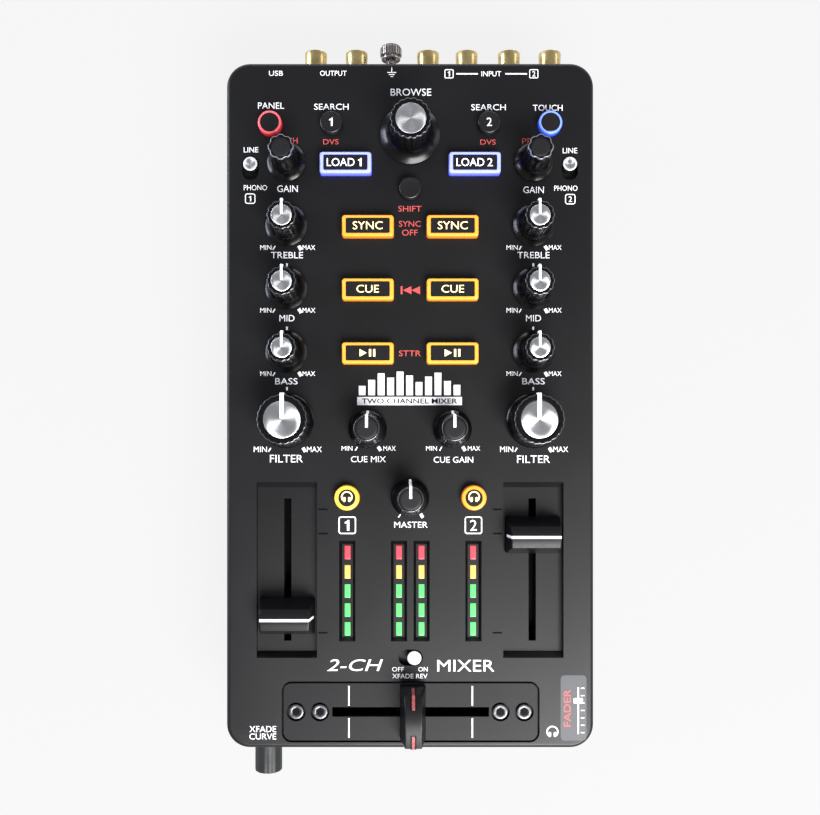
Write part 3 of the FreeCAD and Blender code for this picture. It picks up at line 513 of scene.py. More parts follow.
def show(name: str, data: Any) -> bpy.types.Object:
    """Make an object of some data and link it into the scene.

    Args:
        name: name of the object.
        data: mesh, curve, lamp or camera.
    Returns:
        The object.
    """
    made = bpy.data.objects.new(name, data)
    bpy.context.scene.collection.objects.link(made)
    return made


def centre_of(node: str) -> Vector:
    """Middle of a node's box in millimetres."""
    low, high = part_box(node)
    return (Vector(low) + Vector(high)) / (2 * MM)


def on_panel(node: str) -> Matrix:
    """Matrix that stands the local axis on the panel under a node's middle."""
    middle = centre_of(node)
    return Matrix.Translation((middle.x, middle.y, PANEL_Z))


def facing_rear(x: float, y: float, z: float) -> Matrix:
    """Matrix that points the local axis to the rear and puts its foot at a place."""
    return Matrix.Translation((x, y, z)) @ Matrix.Rotation(-math.pi / 2, 4, "X")


def facing_front(x: float, y: float, z: float) -> Matrix:
    """Matrix that points the local axis to the front and puts its foot at a place."""
    return Matrix.Translation((x, y, z)) @ Matrix.Rotation(math.pi / 2, 4, "X")


# ---- meshes

class Form:
    """Closed shapes under construction in millimetres, each face marked with a finish."""

    def __init__(self) -> None:
        """Start with no points and no faces."""
        self.points: list[Vector] = []
        self.spots: list[Vector] = []
        self.glow: list[float] = []
        self.faces: list[list[int]] = []
        self.marks: list[Finish] = []

    def sweep(self, outlines: Sequence[Outline], finish: Finish, closed: bool = False,
              marks: dict[int, Finish] | None = None, glow: Sequence[float] = ()) -> None:
        """Skin a stack of outlines that have equal numbers of points.

        Args:
            outlines: the stack, first to last.
            finish: finish of the faces.
            closed: join the last outline to the first instead of capping both ends.
            marks: other finishes by band; band -1 is the first cap and band n the last cap.
            glow: brightness of each outline, for lit finishes.
        """
        base = len(self.points)
        count = len(outlines[0])
        marks = marks or {}
        for level, outline in enumerate(outlines):
            self.points.extend(Vector(p) for p in outline)
            self.spots.extend(Vector(p) for p in outline)
            self.glow.extend([glow[level] if glow else 0.0] * count)
        levels = len(outlines)
        pairs = [(i, i + 1) for i in range(levels - 1)]
        if closed:
            pairs.append((levels - 1, 0))
        for band, (low, high) in enumerate(pairs):
            for i in range(count):
                j = (i + 1) % count
                self.faces.append([base + low * count + i, base + low * count + j,
                                   base + high * count + j, base + high * count + i])
                self.marks.append(marks.get(band, finish))
        if not closed:
            self.faces.append([base + i for i in reversed(range(count))])
            self.marks.append(marks.get(-1, finish))
            self.faces.append([base + (levels - 1) * count + i for i in range(count)])
            self.marks.append(marks.get(levels, finish))

    def lathe(self, profile: Sequence[Pair], finish: Finish, steps: int = 64,
              **options: Any) -> None:
        """Turn a profile of (radius, height) pairs about the local axis; options go to sweep."""
        self.sweep([circle(r, z, steps) for r, z in profile], finish, **options)

    def slab(self, outline: Sequence[Pair], low: float, high: float,
             finish: Finish) -> None:
        """Raise a flat outline of (x, y) pairs into a thin block between two heights."""
        self.sweep([[(x, y, z) for x, y in outline] for z in (low, high)], finish)

    def block(self, size: Sequence[float], centre: Sequence[float], finish: Finish,
              corner: float = 0.3, edge: float = 0.15) -> None:
        """Add a block with round corners and softened top and bottom edges.

        Args:
            size: width, depth and height.
            centre: middle of the block.
            finish: finish of the faces.
            corner: corner radius seen from above.
            edge: size of the softened edges.
        """
        w, d, h = size
        x, y, z = centre
        low = z - h / 2
        high = z + h / 2
        stack = [(edge, low), (0.0, low + edge), (0.0, high - edge), (edge, high)]
        self.sweep([shifted(rounded(w - 2 * inset, d - 2 * inset, corner, level, 3), x, y)
                    for inset, level in stack], finish)

    def absorb(self, mesh: bpy.types.Mesh, finish: Finish, glow: float = 1.0) -> None:
        """Take over a mesh made elsewhere, in metres, and free it.

        Args:
            mesh: mesh to take over.
            finish: finish of its faces.
            glow: brightness of its points, for lit finishes.
        """
        base = len(self.points)
        places = [v.co / MM for v in mesh.vertices]
        self.points.extend(places)
        self.spots.extend(p.copy() for p in places)
        self.glow.extend([glow] * len(places))
        for polygon in mesh.polygons:
            self.faces.append([base + i for i in polygon.vertices])
            self.marks.append(finish)
        bpy.data.meshes.remove(mesh)

    def move(self, matrix: Matrix, since: int = 0) -> "Form":
        """Place every point added since a given count; the stored spots stay local.

        Args:
            matrix: where the points go.
            since: number of points that stay as they are.
        Returns:
            The same form.
        """
        for i in range(since, len(self.points)):
            self.points[i] = matrix @ self.points[i]
        return self

    def mesh(self, name: str, sharp: float = 32.0) -> bpy.types.Mesh:
        """Make the mesh in metres, with finishes, attributes and outward faces.

        Args:
            name: name of the mesh.
            sharp: edges bent by more than this many degrees stay sharp.
        Returns:
            The finished mesh.
        """
        finishes = list(dict.fromkeys(self.marks))
        data = bpy.data.meshes.new(name)
        data.from_pydata([p * MM for p in self.points], [], self.faces)
        for finish in finishes:
            data.materials.append(finish.material())
        data.polygons.foreach_set("material_index", [finishes.index(m) for m in self.marks])
        spot = data.attributes.new("spot", "FLOAT_VECTOR", "POINT")
        spot.data.foreach_set("vector", [c for s in self.spots for c in s])
        glow = data.attributes.new("glow", "FLOAT", "POINT")
        glow.data.foreach_set("value", self.glow)
        shape = bmesh.new()
        shape.from_mesh(data)
        bmesh.ops.recalc_face_normals(shape, faces=shape.faces)
        shape.to_mesh(data)
        shape.free()
        data.shade_smooth()
        data.set_sharp_from_angle(angle=math.radians(sharp))
        return data


def put(name: str, form: Form, body: str, nodes: Sequence[str] = (),
        sharp: float = 32.0) -> bpy.types.Object:
    """Turn a form into a piece that rides a body and stands for its nodes.

    Args:
        name: name of the piece.
        form: the finished form.
        body: body that carries the piece.
        nodes: nodes of the part that the piece replaces.
        sharp: smoothing limit in degrees.
    Returns:
        The new object.
    """
    piece = show(name, form.mesh(name, sharp))
    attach(piece, body)
    if nodes:
        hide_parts(*nodes)
    print(f"piece {name}: {len(piece.data.polygons)} faces")
    return piece


# ---- patterns

class Pattern:
    """A Geometry Nodes group with named inputs that is grown into a plain mesh."""

    def __init__(self, name: str, sockets: dict[str, str]) -> None:
        """Open the group.

        Args:
            name: name of the group.
            sockets: socket type of each input by name, besides the geometry.
        """
        self.group = bpy.data.node_groups.new(name, "GeometryNodeTree")
        face = self.group.interface
        face.new_socket(name="Geometry", in_out="INPUT", socket_type="NodeSocketGeometry")
        for label, kind in sockets.items():
            face.new_socket(name=label, in_out="INPUT", socket_type=kind)
        face.new_socket(name="Finish", in_out="INPUT", socket_type="NodeSocketMaterial")
        face.new_socket(name="Geometry", in_out="OUTPUT", socket_type="NodeSocketGeometry")
        self.inlet = add(self.group, "NodeGroupInput").outputs

    def close(self, geometry: bpy.types.NodeSocket) -> None:
        """End the group: make instances real and give them their finish.

        Args:
            geometry: socket that carries the finished shape.
        """
        real = add(self.group, "GeometryNodeRealizeInstances", {"Geometry": geometry})
        dressed = add(self.group, "GeometryNodeSetMaterial",
                      {"Geometry": real.outputs["Geometry"], "Material": self.inlet["Finish"]})
        add(self.group, "NodeGroupOutput", {"Geometry": dressed.outputs["Geometry"]})

    def grow(self, base: bpy.types.Mesh, finish: Finish, **sizes: Any) -> bpy.types.Mesh:
        """Run the group on a mesh.

        Args:
            base: mesh that goes in.
            finish: finish of everything that comes out.
            sizes: value of each named input, underscores for spaces.
        Returns:
            A new mesh in metres.
        """
        host = show("host", base)
        modifier = host.modifiers.new("pattern", "NODES")
        modifier.node_group = self.group
        values = {name.replace("_", " "): value for name, value in sizes.items()}
        values["Finish"] = finish.material()
        for item in self.group.interface.items_tree:
            if item.in_out == "INPUT" and item.name in values:
                modifier[item.identifier] = values[item.name]
        graph = bpy.context.evaluated_depsgraph_get()
        grown = bpy.data.meshes.new_from_object(host.evaluated_get(graph))
        bpy.data.objects.remove(host)
        return grown


class FlutePattern(Pattern):
    """Presses scallops into the barrel of a turned knob."""

    # Height over which the flutes deepen to the full depth.
    fade = 1.6

    def __init__(self) -> None:
        """Build the group: a cosine around the axis picks the valleys and pushes them inward."""
        super().__init__("flutes", {"Count": "NodeSocketInt", "Depth": "NodeSocketFloat",
                                    "From": "NodeSocketFloat", "Inner": "NodeSocketFloat",
                                    "Outer": "NodeSocketFloat"})
        group, inlet = self.group, self.inlet
        place = add(group, "GeometryNodeInputPosition").outputs["Position"]
        parts = add(group, "ShaderNodeSeparateXYZ", {0: place}).outputs
        angle = add(group, "ShaderNodeMath", {0: parts["Y"], 1: parts["X"]}, operation="ARCTAN2")
        turns = add(group, "ShaderNodeMath", {0: angle.outputs[0], 1: inlet["Count"]}, operation="MULTIPLY")
        wave = add(group, "ShaderNodeMath", {0: turns.outputs[0]}, operation="COSINE")
        valley = add(group, "ShaderNodeMapRange",
                     {"Value": wave.outputs[0], "From Min": 0.55, "From Max": -1.0},
                     interpolation_type="SMOOTHSTEP")
        lifted = add(group, "ShaderNodeMath", {0: inlet["From"], 1: self.fade * MM}, operation="ADD")
        above = add(group, "ShaderNodeMapRange",
                    {"Value": parts["Z"], "From Min": inlet["From"], "From Max": lifted.outputs[0]},
                    interpolation_type="SMOOTHSTEP")
        outward = add(group, "ShaderNodeVectorMath", {0: place, 1: (1.0, 1.0, 0.0)}, operation="MULTIPLY")
        reach = add(group, "ShaderNodeVectorMath", {0: outward.outputs["Vector"]}, operation="LENGTH")
        rim = add(group, "ShaderNodeMapRange",
                  {"Value": reach.outputs["Value"], "From Min": inlet["Inner"], "From Max": inlet["Outer"]})
        inward = valley.outputs["Result"]
        for factor in (inlet["Depth"], above.outputs["Result"], rim.outputs["Result"], -1.0):
            inward = add(group, "ShaderNodeMath", {0: inward, 1: factor}, operation="MULTIPLY").outputs[0]
        unit = add(group, "ShaderNodeVectorMath", {0: outward.outputs["Vector"]}, operation="NORMALIZE")
        push = add(group, "ShaderNodeVectorMath", {0: unit.outputs["Vector"], "Scale": inward},
                   operation="SCALE")
        moved = add(group, "GeometryNodeSetPosition",
                    {"Geometry": inlet["Geometry"], "Offset": push.outputs["Vector"]})
        self.close(moved.outputs["Geometry"])


class RingPattern(Pattern):
    """Repeats an item around the local axis, such as the teeth of a knurl."""

    def __init__(self) -> None:
        """Build the group; each copy is turned by its share of a full turn."""
        super().__init__("ring", {"Item": "NodeSocketObject", "Count": "NodeSocketInt"})
        group, inlet = self.group, self.inlet
        spots = add(group, "GeometryNodeMeshLine", {"Count": inlet["Count"], "Offset": (0.0, 0.0, 0.0)})
        item = add(group, "GeometryNodeObjectInfo", {"Object": inlet["Item"]})
        number = add(group, "GeometryNodeInputIndex").outputs["Index"]
        share = add(group, "ShaderNodeMath", {0: 2 * math.pi, 1: inlet["Count"]}, operation="DIVIDE")
        angle = add(group, "ShaderNodeMath", {0: number, 1: share.outputs[0]}, operation="MULTIPLY")
        turn = add(group, "ShaderNodeCombineXYZ", {"Z": angle.outputs[0]})
        spin = add(group, "FunctionNodeEulerToRotation", {"Euler": turn.outputs["Vector"]})
        copies = add(group, "GeometryNodeInstanceOnPoints",
                     {"Points": spots.outputs["Mesh"], "Instance": item.outputs["Geometry"],
                      "Rotation": spin.outputs["Rotation"]})
        self.close(copies.outputs["Instances"])


class SpotPattern(Pattern):
    """Repeats an item at every point of a mesh: screws, feet, liners and sockets."""

    def __init__(self) -> None:
        """Build the group; the mesh that goes in holds one point for each copy."""
        super().__init__("spots", {"Item": "NodeSocketObject"})
        group, inlet = self.group, self.inlet
        item = add(group, "GeometryNodeObjectInfo", {"Object": inlet["Item"]})
        copies = add(group, "GeometryNodeInstanceOnPoints",
                     {"Points": inlet["Geometry"], "Instance": item.outputs["Geometry"]})
        self.close(copies.outputs["Instances"])


class Workshop:
    """Owns the patterns and runs them on forms."""

    def __init__(self) -> None:
        """Make each pattern once."""
        self.flutes = FlutePattern()
        self.ring = RingPattern()
        self.spots = SpotPattern()

    def fluted(self, form: Form, finish: Finish, count: int, depth: float, start: float,
               rim: Pair) -> bpy.types.Mesh:
        """Press flutes into a turned form.

        Args:
            form: turned form about the local axis.
            finish: its finish.
            count: number of flutes.
            depth: depth of a flute.
            start: height where the flutes begin.
            rim: radii between which the flutes fade in.
        Returns:
            A mesh in metres.
        """
        return self.flutes.grow(form.mesh("turned"), finish, Count=count, Depth=depth * MM,
                                From=start * MM, Inner=rim[0] * MM, Outer=rim[1] * MM)

    def copies(self, form: Form, finish: Finish, places: Sequence[Point] | None = None,
               count: int = 0) -> bpy.types.Mesh:
        """Repeat a form at given places, or around the local axis.

        Args:
            form: the item.
            finish: finish of every copy.
            places: places of the copies; leave out for a ring.
            count: number of copies in the ring.
        Returns:
            A mesh in metres.
        """
        item = show("item", form.mesh("item"))
        seeds = bpy.data.meshes.new("seeds")
        if places:
            seeds.from_pydata([Vector(p) * MM for p in places], [], [])
            grown = self.spots.grow(seeds, finish, Item=item)
        else:
            grown = self.ring.grow(seeds, finish, Item=item, Count=count)
        bpy.data.objects.remove(item)
        return grown


# ---- lettering

@dataclass(frozen=True)
class Label:
    """One printed word: its text, middle and size."""
    text: str
    x: float
    y: float
    height: float
    width: float
    slant: float = 0.0
    weight: float = 0.0

    def mesh(self, low: float, high: float) -> bpy.types.Mesh:
        """Make the letters as thin closed shapes.

        Args:
            low: height of their underside.
            high: height of their face.
        Returns:
            A mesh in metres, in place.
        """
        curve = bpy.data.curves.new("letters", "FONT")
        curve.body = self.text
        curve.resolution_u = 3
        curve.extrude = 0.5
        curve.offset = self.weight
        curve.shear = self.slant
        host = show("letters", curve)
        graph = bpy.context.evaluated_depsgraph_get()
        data = bpy.data.meshes.new_from_object(host.evaluated_get(graph))
        bpy.data.objects.remove(host)
        bpy.data.curves.remove(curve)
        xs = [v.co.x for v in data.vertices]
        ys = [v.co.y for v in data.vertices]
        middle = Vector(((min(xs) + max(xs)) / 2, (min(ys) + max(ys)) / 2, 0))
        grow = Vector((self.width / (max(xs) - min(xs)), self.height / (max(ys) - min(ys)), high - low))
        place = Vector((self.x, self.y, (low + high) / 2))
        for vertex in data.vertices:
            vertex.co = (Vector(a * b for a, b in zip(vertex.co - middle, grow)) + place) * MM
        return data


def frame_ring(form: Form, width: float, depth: float, corner: float, line: float,
               centre: Pair, heights: Pair, finish: Finish) -> None:
    """Add a printed frame around a rectangle.

    Args:
        form: form that receives the frame.
        width: outer size along X.
        depth: outer size along Y.
        corner: outer corner radius.
        line: thickness of the line.
        centre: middle of the frame.
        heights: underside and face of the ink.
        finish: the ink.
    """
    low, high = heights
    inner = (width - 2 * line, depth - 2 * line, max(corner - line, 0.1))
    stack = [(width, depth, corner, low), (width, depth, corner, high), (*inner, high), (*inner, low)]
    form.sweep([shifted(rounded(*sizes), *centre) for sizes in stack], finish, closed=True)


def bar(form: Form, x: float, y: float, width: float, depth: float,
        heights: Pair = INK_Z, finish: Finish = INK_WHITE, turn: float = 0.0) -> None:
    """Add a thin printed bar, turned by degrees about its middle.

    Args:
        form: form that receives the bar.
        x: middle along X.
        y: middle along Y.
        width: size along X before the turn.
        depth: size along Y before the turn.
        heights: underside and face of the ink.
        finish: the ink.
        turn: turn in degrees.
    """
    c, s = math.cos(math.radians(turn)), math.sin(math.radians(turn))
    w, d = width / 2, depth / 2
    form.slab([(x + c * a - s * b, y + s * a + c * b) for a, b in ((-w, -d), (w, -d), (w, d), (-w, d))],
              *heights, finish)


def headphones(form: Form, x: float, y: float, size: float, heights: Pair,
               finish: Finish) -> None:
    """Add a headphone symbol: a headband and two ear cups.

    Args:
        form: form that receives the symbol.
        x: middle along X.
        y: middle along Y.
        size: overall width.
        heights: underside and face of the ink.
        finish: the ink.
    """
    outer = size * 0.5
    inner = size * 0.39
    turns = [math.pi * i / 14 for i in range(-3, 18)]
    arc = [(x + outer * math.cos(t), y + outer * math.sin(t)) for t in turns]
    arc += [(x + inner * math.cos(t), y + inner * math.sin(t)) for t in reversed(turns)]
    form.slab(arc, *heights, finish)
    for side in (-1, 1):
        cup = rounded(size * 0.22, size * 0.42, size * 0.1, 0.0, 3)
        form.slab([(px + x + side * size * 0.22, py + y - size * 0.22) for px, py, _ in cup],
                  *heights, finish)


def figure_one(form: Form, x: float, y: float, size: float, heights: Pair,
               finish: Finish) -> None:
    """Add a figure one with a flag, since the plain letters draw it as a bare bar.

    Args:
        form: form that receives the figure.
        x: middle along X.
        y: middle along Y.
        size: height of the figure.
        heights: underside and face of the ink.
        finish: the ink.
    """
    outline = ((-0.03, -0.5), (0.19, -0.5), (0.19, 0.5), (0.05, 0.5), (-0.03, 0.4), (-0.23, 0.3),
               (-0.23, 0.15), (-0.03, 0.22))
    form.slab([(x + size * px, y + size * py) for px, py in outline], *heights, finish)


# ---- knobs

class Top(Enum):
    """What the flat end of a knob carries."""
    DISC = "spun disc"
    FIELD = "matte field"


@dataclass(frozen=True)
class Knob:
    """One family of panel knobs, with heights above the panel.

    The rim and the hollow-curved skirt are turned, the barrel is fluted, and the
    flat end carries a disc and a painted pointer that runs over the edge.
    """
    base_r: float
    waist_r: float
    waist_h: float
    top_r: float
    height: float
    disc_r: float
    flutes: int = 0
    flute_depth: float = 0.0
    pointer_w: float = 0.0
    pointer_from: float = 0.0
    proud: float = 0.3
    top: Top = Top.DISC
    drop: float = 0.0
    long_line: bool = False
    gap: float = 0.8
    rim_up: float = 1.1
    inset: float = 0.25
    steps_per_flute: int = 12
    shaft_foot: float = -9.0
    # Finish of the top bevel; its paler colour is a painted highlight.
    edge: Finish = KNOB_EDGE_PAINTED_HIGHLIGHT

    def build(self, workshop: Workshop, name: str, node: str) -> bpy.types.Object:
        """Build the knob for a node and hang it on the body of the same name.

        Args:
            workshop: patterns to use.
            name: name of the piece.
            node: node and body of the part.
        Returns:
            The piece.
        """
        form = Form()
        self.cap(workshop, form)
        self.end(form)
        if self.pointer_w:
            self.pointer(form)
        foot = self.shaft_foot
        form.lathe([(SHAFT_R - 0.3, foot), (SHAFT_R, foot + 0.3), (SHAFT_R, self.gap + 0.3)], STEEL, 32)
        form.move(on_panel(node))
        return put(name, form, node, [node], KNOB_SHARP)

    def skirt(self, t: float) -> Pair:
        """Radius and height on the hollow-curved skirt, from its rim (0) to the waist (1).

        Args:
            t: share of the way up, 0 to 1.
        Returns:
            Radius and height.
        """
        rim = self.gap + self.rim_up
        radius = self.waist_r + (self.base_r - self.waist_r) * (1 - t) ** 2.5
        return radius, rim + (self.waist_h - rim) * t

    def profile(self) -> list[Pair]:
        """Outer profile from the foot to the seat of the disc.

        Returns:
            Pairs of radius and height, from the bottom up.
        """
        rim = self.gap + self.rim_up
        skirt = [self.skirt(i / 8) for i in range(9)]
        shoulder = self.height - 0.5
        slim, tall = self.top_r - self.waist_r, shoulder - self.waist_h
        rise = [(self.waist_r + slim * t, self.waist_h + tall * t) for t in (0.12, 0.3, 0.6, 1.0)]
        lip = [(self.top_r - 0.08, self.height - 0.22), (self.top_r - 0.25, self.height - 0.08),
               (self.top_r - 0.5, self.height - 0.02), (self.disc_r + 0.35, self.height - 0.02),
               (self.disc_r + 0.12, self.height - 0.08), (self.disc_r + 0.08, self.height - self.inset)]
        foot = [(self.base_r - 0.35, self.gap), (self.base_r - 0.08, self.gap + 0.12),
                (self.base_r, self.gap + 0.4), (self.base_r - 0.02, rim - 0.25)]
        return foot + skirt + rise + lip

    def cap(self, workshop: Workshop, form: Form) -> None:
        """Turn the cap and its polished bevel with its painted highlight, and press the same flutes into
        both.

        Args:
            workshop: patterns to use.
            form: form that receives the cap.
        """
        steps = max(self.flutes * self.steps_per_flute, 96)
        bevel = [circle(self.top_r - inset, self.height - drop, steps) for inset, drop in (
            (-0.01, 0.52), (0.02, 0.26), (0.2, 0.06), (0.44, 0.0), (0.44, 0.2), (0.25, 0.52))]
        rim = (self.disc_r + 0.3, self.top_r - 0.4)
        for finish in (KNOB_GLOSS, self.edge):
            turned = Form()
            if finish is KNOB_GLOSS:
                turned.lathe(self.profile(), finish, steps)
            else:
                turned.sweep(bevel, finish, closed=True)
            form.absorb(workshop.fluted(turned, finish, self.flutes, self.flute_depth,
                                        self.waist_h + 0.2, rim), finish)

    def end(self, form: Form) -> None:
        """Lay the disc or the matte field into the flat end.

        Args:
            form: form that receives the disc or field.
        """
        finish = DISC_SPUN if self.top is Top.DISC else KNOB_MATTE
        r = self.disc_r
        face = self.height - 0.02 if self.top is Top.DISC else self.height - 0.18
        rings = [(r * share, face) for share in (0.96, 0.7, 0.4, 0.15, 0.03)]
        form.lathe([(r, face - 0.4), (r, face - 0.1)] + rings, finish)

    def pointer(self, form: Form) -> None:
        """Lay the pointer from the disc over the edge and a little down the barrel.

        Args:
            form: form that receives the pointer.
        """
        half = self.pointer_w / 2
        tip = self.top_r + self.proud - 0.04
        face = self.height + 0.03 - self.drop
        seat = self.top_r - 0.5
        path = [(self.pointer_from, face), (tip - 0.55, face), (tip - 0.16, face - 0.12), (tip, face - 0.5)]
        back = [(self.pointer_from, face - 0.35), (seat - 0.25, face - 0.4), (seat - 0.1, face - 0.5),
                (seat - 0.05, face - 0.7)]
        if self.long_line:
            for t in (1.0, 0.85, 0.7, 0.55, 0.4, 0.28, 0.18, 0.1):
                radius, z = self.skirt(t)
                path.append((radius + 0.1, z + 0.04))
                back.append((radius - 0.4, z - 0.1))
        else:
            path.append((tip + 0.02, face - 3.4))
            back.append((seat, face - 3.4))
        stack = []
        for x, grow in ((-half, 0.08), (-half + 0.12, 0.0), (half - 0.12, 0.0), (half, 0.08)):
            outer = [(x, y - (grow if i else -grow), z - (grow if i < 3 else 0.0))
                     for i, (y, z) in enumerate(path)]
            inner = [(x, y, z) for y, z in reversed(back)]
            stack.append(outer + inner)
        form.sweep(stack, POINTER_WHITE)


BROWSE = Knob(10.8, 7.4, 6.5, 7.2, 18.2, 5.3, 18, 0.34)
GAIN = Knob(6.95, 4.75, 5.5, 4.5, 18.5, 3.35, 8, 0.42, 0.8, 4.0, 0.3, Top.FIELD, 1.2, edge=GAIN_EDGE_PAINTED_HIGHLIGHT)
EQUALISER = Knob(7.55, 5.4, 5.5, 5.15, 16.7, 3.6, 12, 0.28, 0.9, 0.25, 0.8)
FILTER = Knob(9.95, 9.1, 3.4, 8.85, 15.5, 6.5, 22, 0.22, 1.5, 0.3, 0.6)
CUE = Knob(6.95, 5.6, 6.0, 4.6, 15.5, 3.9, 0, 0.0, 0.95, 0.25, 0.3, Top.FIELD, long_line=True)


class KnobBank:
    """Every knob on the panel."""

    families = {"gain": GAIN, "treble": EQUALISER, "mid": EQUALISER, "bass": EQUALISER, "filter": FILTER}
    singles = {"cue_mix_knob": CUE, "cue_gain_knob": CUE, "master_knob": CUE, "browse_knob": BROWSE}

    def build(self, workshop: Workshop) -> None:
        """Build the knobs of both channels and the four in the middle.

        Args:
            workshop: patterns to use.
        """
        for band, family in self.families.items():
            for channel in (1, 2):
                node = f"{band}_knob_{channel}"
                family.build(workshop, f"look_{node}", node)
        for node, family in self.singles.items():
            family.build(workshop, f"look_{node}", node)


@dataclass(frozen=True)
class CurveKnob:
    """Small fluted knob on the front wall."""
    radius: float = 5.2
    length: float = 13.8
    flutes: int = 14
    flute_depth: float = 0.14
    shaft_foot: float = -7.0

    def build(self, workshop: Workshop) -> bpy.types.Object:
        """Build the knob on its own axis, then face it to the front.

        Args:
            workshop: patterns to use.
        Returns:
            The piece.
        """
        low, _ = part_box("curve_knob")
        middle = centre_of("curve_knob")
        tip = low[1] / MM
        r, length = self.radius, self.length
        turned = Form()
        turned.lathe([(r - 0.5, 0.0), (r - 0.12, 0.12), (r, 0.5), (r, 1.9), (r - 0.05, 2.2),
                      (r - 0.05, length * 0.6), (r - 0.05, length - 0.7), (r - 0.15, length - 0.3),
                      (r - 0.6, length - 0.02), (r - 1.1, length), (1.0, length)], KNOB_SATIN, 84)
        form = Form()
        form.absorb(workshop.fluted(turned, KNOB_SATIN, self.flutes, self.flute_depth, 1.8,
                                    (r - 1.4, r - 0.5)), KNOB_SATIN)
        foot = self.shaft_foot
        form.lathe([(SHAFT_R - 0.2, foot), (SHAFT_R, foot + 0.2), (SHAFT_R, 0.4)], STEEL, 32)
        form.block((1.0, 3.6, 0.3), (0.0, 2.4, length - 0.17), POINTER_WHITE, 0.2, 0.05)
        form.move(facing_front(middle.x, tip + length, middle.z))
        return put("look_curve_knob", form, "curve_knob", ["curve_knob"])


# ---- buttons and switches

@dataclass(frozen=True)
class LitBar:
    """Rectangular lit button: a translucent body with a dark plate and lit letters."""
    width: float = 18.9
    depth: float = 7.9
    height: float = 3.6
    plate_w: float = 15.8
    plate_d: float = 5.4

    def build(self, node: str, finish: Lit, slot: str, letters: Sequence[Label],
              letter_finish: Printed, icon: bool = False, number: str = "") -> bpy.types.Object:
        """Build the button for a node.

        Args:
            node: node and body of the part.
            finish: lit plastic.
            slot: material slot of the record; not used.
            letters: words on the plate, placed from its middle.
            letter_finish: light in the letters.
            icon: put a play and pause sign on the plate.
            number: number after the word.
        Returns:
            The piece.
        """
        form = Form()
        top = self.height
        body = [(0.0, -2.8, 0.0), (0.0, 0.1, 0.15), (0.06, 1.6, 0.35), (0.12, top - 0.5, 0.6),
                (0.24, top - 0.2, 0.8), (0.5, top, 1.0)]
        stack = [rounded(self.width - 2 * inset, self.depth - 2 * inset, 1.0, z) for inset, z, _ in body]
        glow = [g for _, _, g in body]
        stack += [rounded(self.plate_w + 0.2, self.plate_d + 0.2, 0.55, top),
                  rounded(self.plate_w + 0.1, self.plate_d + 0.1, 0.5, top - 0.3)]
        form.sweep(stack, finish, glow=glow + [0.85, 0.2])
        form.block((self.width + 1.8, self.depth + 1.8, 0.8), (0, 0, -3.2), finish, 0.5, 0.1)
        form.lathe(STEM, SOCKET_BLACK, 24)
        form.block((self.plate_w, self.plate_d, 0.35), (0, 0, top - 0.2), BUTTON_BLACK, 0.45, 0.08)
        ink = (top - 0.04, top - 0.01)
        for letter in letters:
            form.absorb(letter.mesh(*ink), letter_finish)
        if number == "1":
            figure_one(form, 5.3, 0.0, 2.9, ink, letter_finish)
        elif number:
            form.absorb(Label(number, 5.4, 0, 2.9, 1.9).mesh(*ink), letter_finish)
        if icon:
            form.slab([(-2.9, -1.35), (-0.35, 0.0), (-2.9, 1.35)], *ink, letter_finish)
            bar(form, 0.85, 0.0, 0.75, 2.7, ink, letter_finish)
            bar(form, 2.35, 0.0, 0.75, 2.7, ink, letter_finish)
        form.move(on_panel(node))
        return put(f"look_{node}", form, node, [node])


@dataclass(frozen=True)
class RoundButton:
    """Round button: plain black, or a lit ring around a dark plate."""
    radius: float = 4.1
    height: float = 3.0
    plate_r: float = 0.0

    def build(self, node: str, slot: str, lit: Lit | None = None, number: str = "",
              phones: Printed | None = None) -> bpy.types.Object:
        """Build the button for a node.

        Args:
            node: node and body of the part.
            slot: material slot of the record; not used.
            lit: plastic of the lit ring.
            number: number printed on the top.
            phones: light in a headphone sign on the top.
        Returns:
            The piece.
        """
        form = Form()
        r, top = self.radius, self.height
        shell = lit or BUTTON_BLACK
        profile = [(r, -2.8, 0.0), (r, 0.1, 0.0), (r - 0.02, top - 0.75, 0.2), (r - 0.1, top - 0.35, 0.35),
                   (r - 0.3, top - 0.1, 0.6), (r - 0.55, top, 0.9)]
        if self.plate_r:
            profile += [(self.plate_r + 0.12, top, 1.0), (self.plate_r + 0.06, top - 0.3, 0.3)]
        else:
            profile += [(r - 0.9, top - 0.02, 0.0), (r - 1.3, top - 0.12, 0.0), (r * 0.4, top - 0.16, 0.0),
                        (0.1, top - 0.17, 0.0)]
        form.lathe([(pr, pz) for pr, pz, _ in profile], shell, 64, glow=[g for _, _, g in profile])
        form.lathe([(r + 0.7, -3.6), (r + 0.9, -3.4), (r + 0.9, -2.9), (r + 0.7, -2.8)], shell, 48)
        form.lathe(STEM, SOCKET_BLACK, 24)
        face = top - 0.17
        if self.plate_r:
            form.lathe([(self.plate_r, top - 0.45), (self.plate_r, top - 0.1),
                        (self.plate_r - 0.12, top - 0.02), (self.plate_r - 0.4, top - 0.02),
                        (0.2, top - 0.03)], BUTTON_BLACK, 48)
            face = top - 0.03
        ink = (face - 0.01, face + 0.02)
        if number:
            self.number(form, number, ink)
        if phones:
            headphones(form, 0, 0.35, 4.2, ink, phones)
        form.move(on_panel(node))
        return put(f"look_{node}", form, node, [node])

    def number(self, form: Form, number: str, ink: Pair) -> None:
        """Print the number on the top.

        Args:
            form: form that receives the number.
            number: the number.
            ink: underside and face of the ink.
        """
        if number == "1":
            figure_one(form, 0.0, 0.0, 3.0, ink, INK_WHITE)
        else:
            form.absorb(Label(number, 0, 0, 3.0, 1.9).mesh(*ink), INK_WHITE)


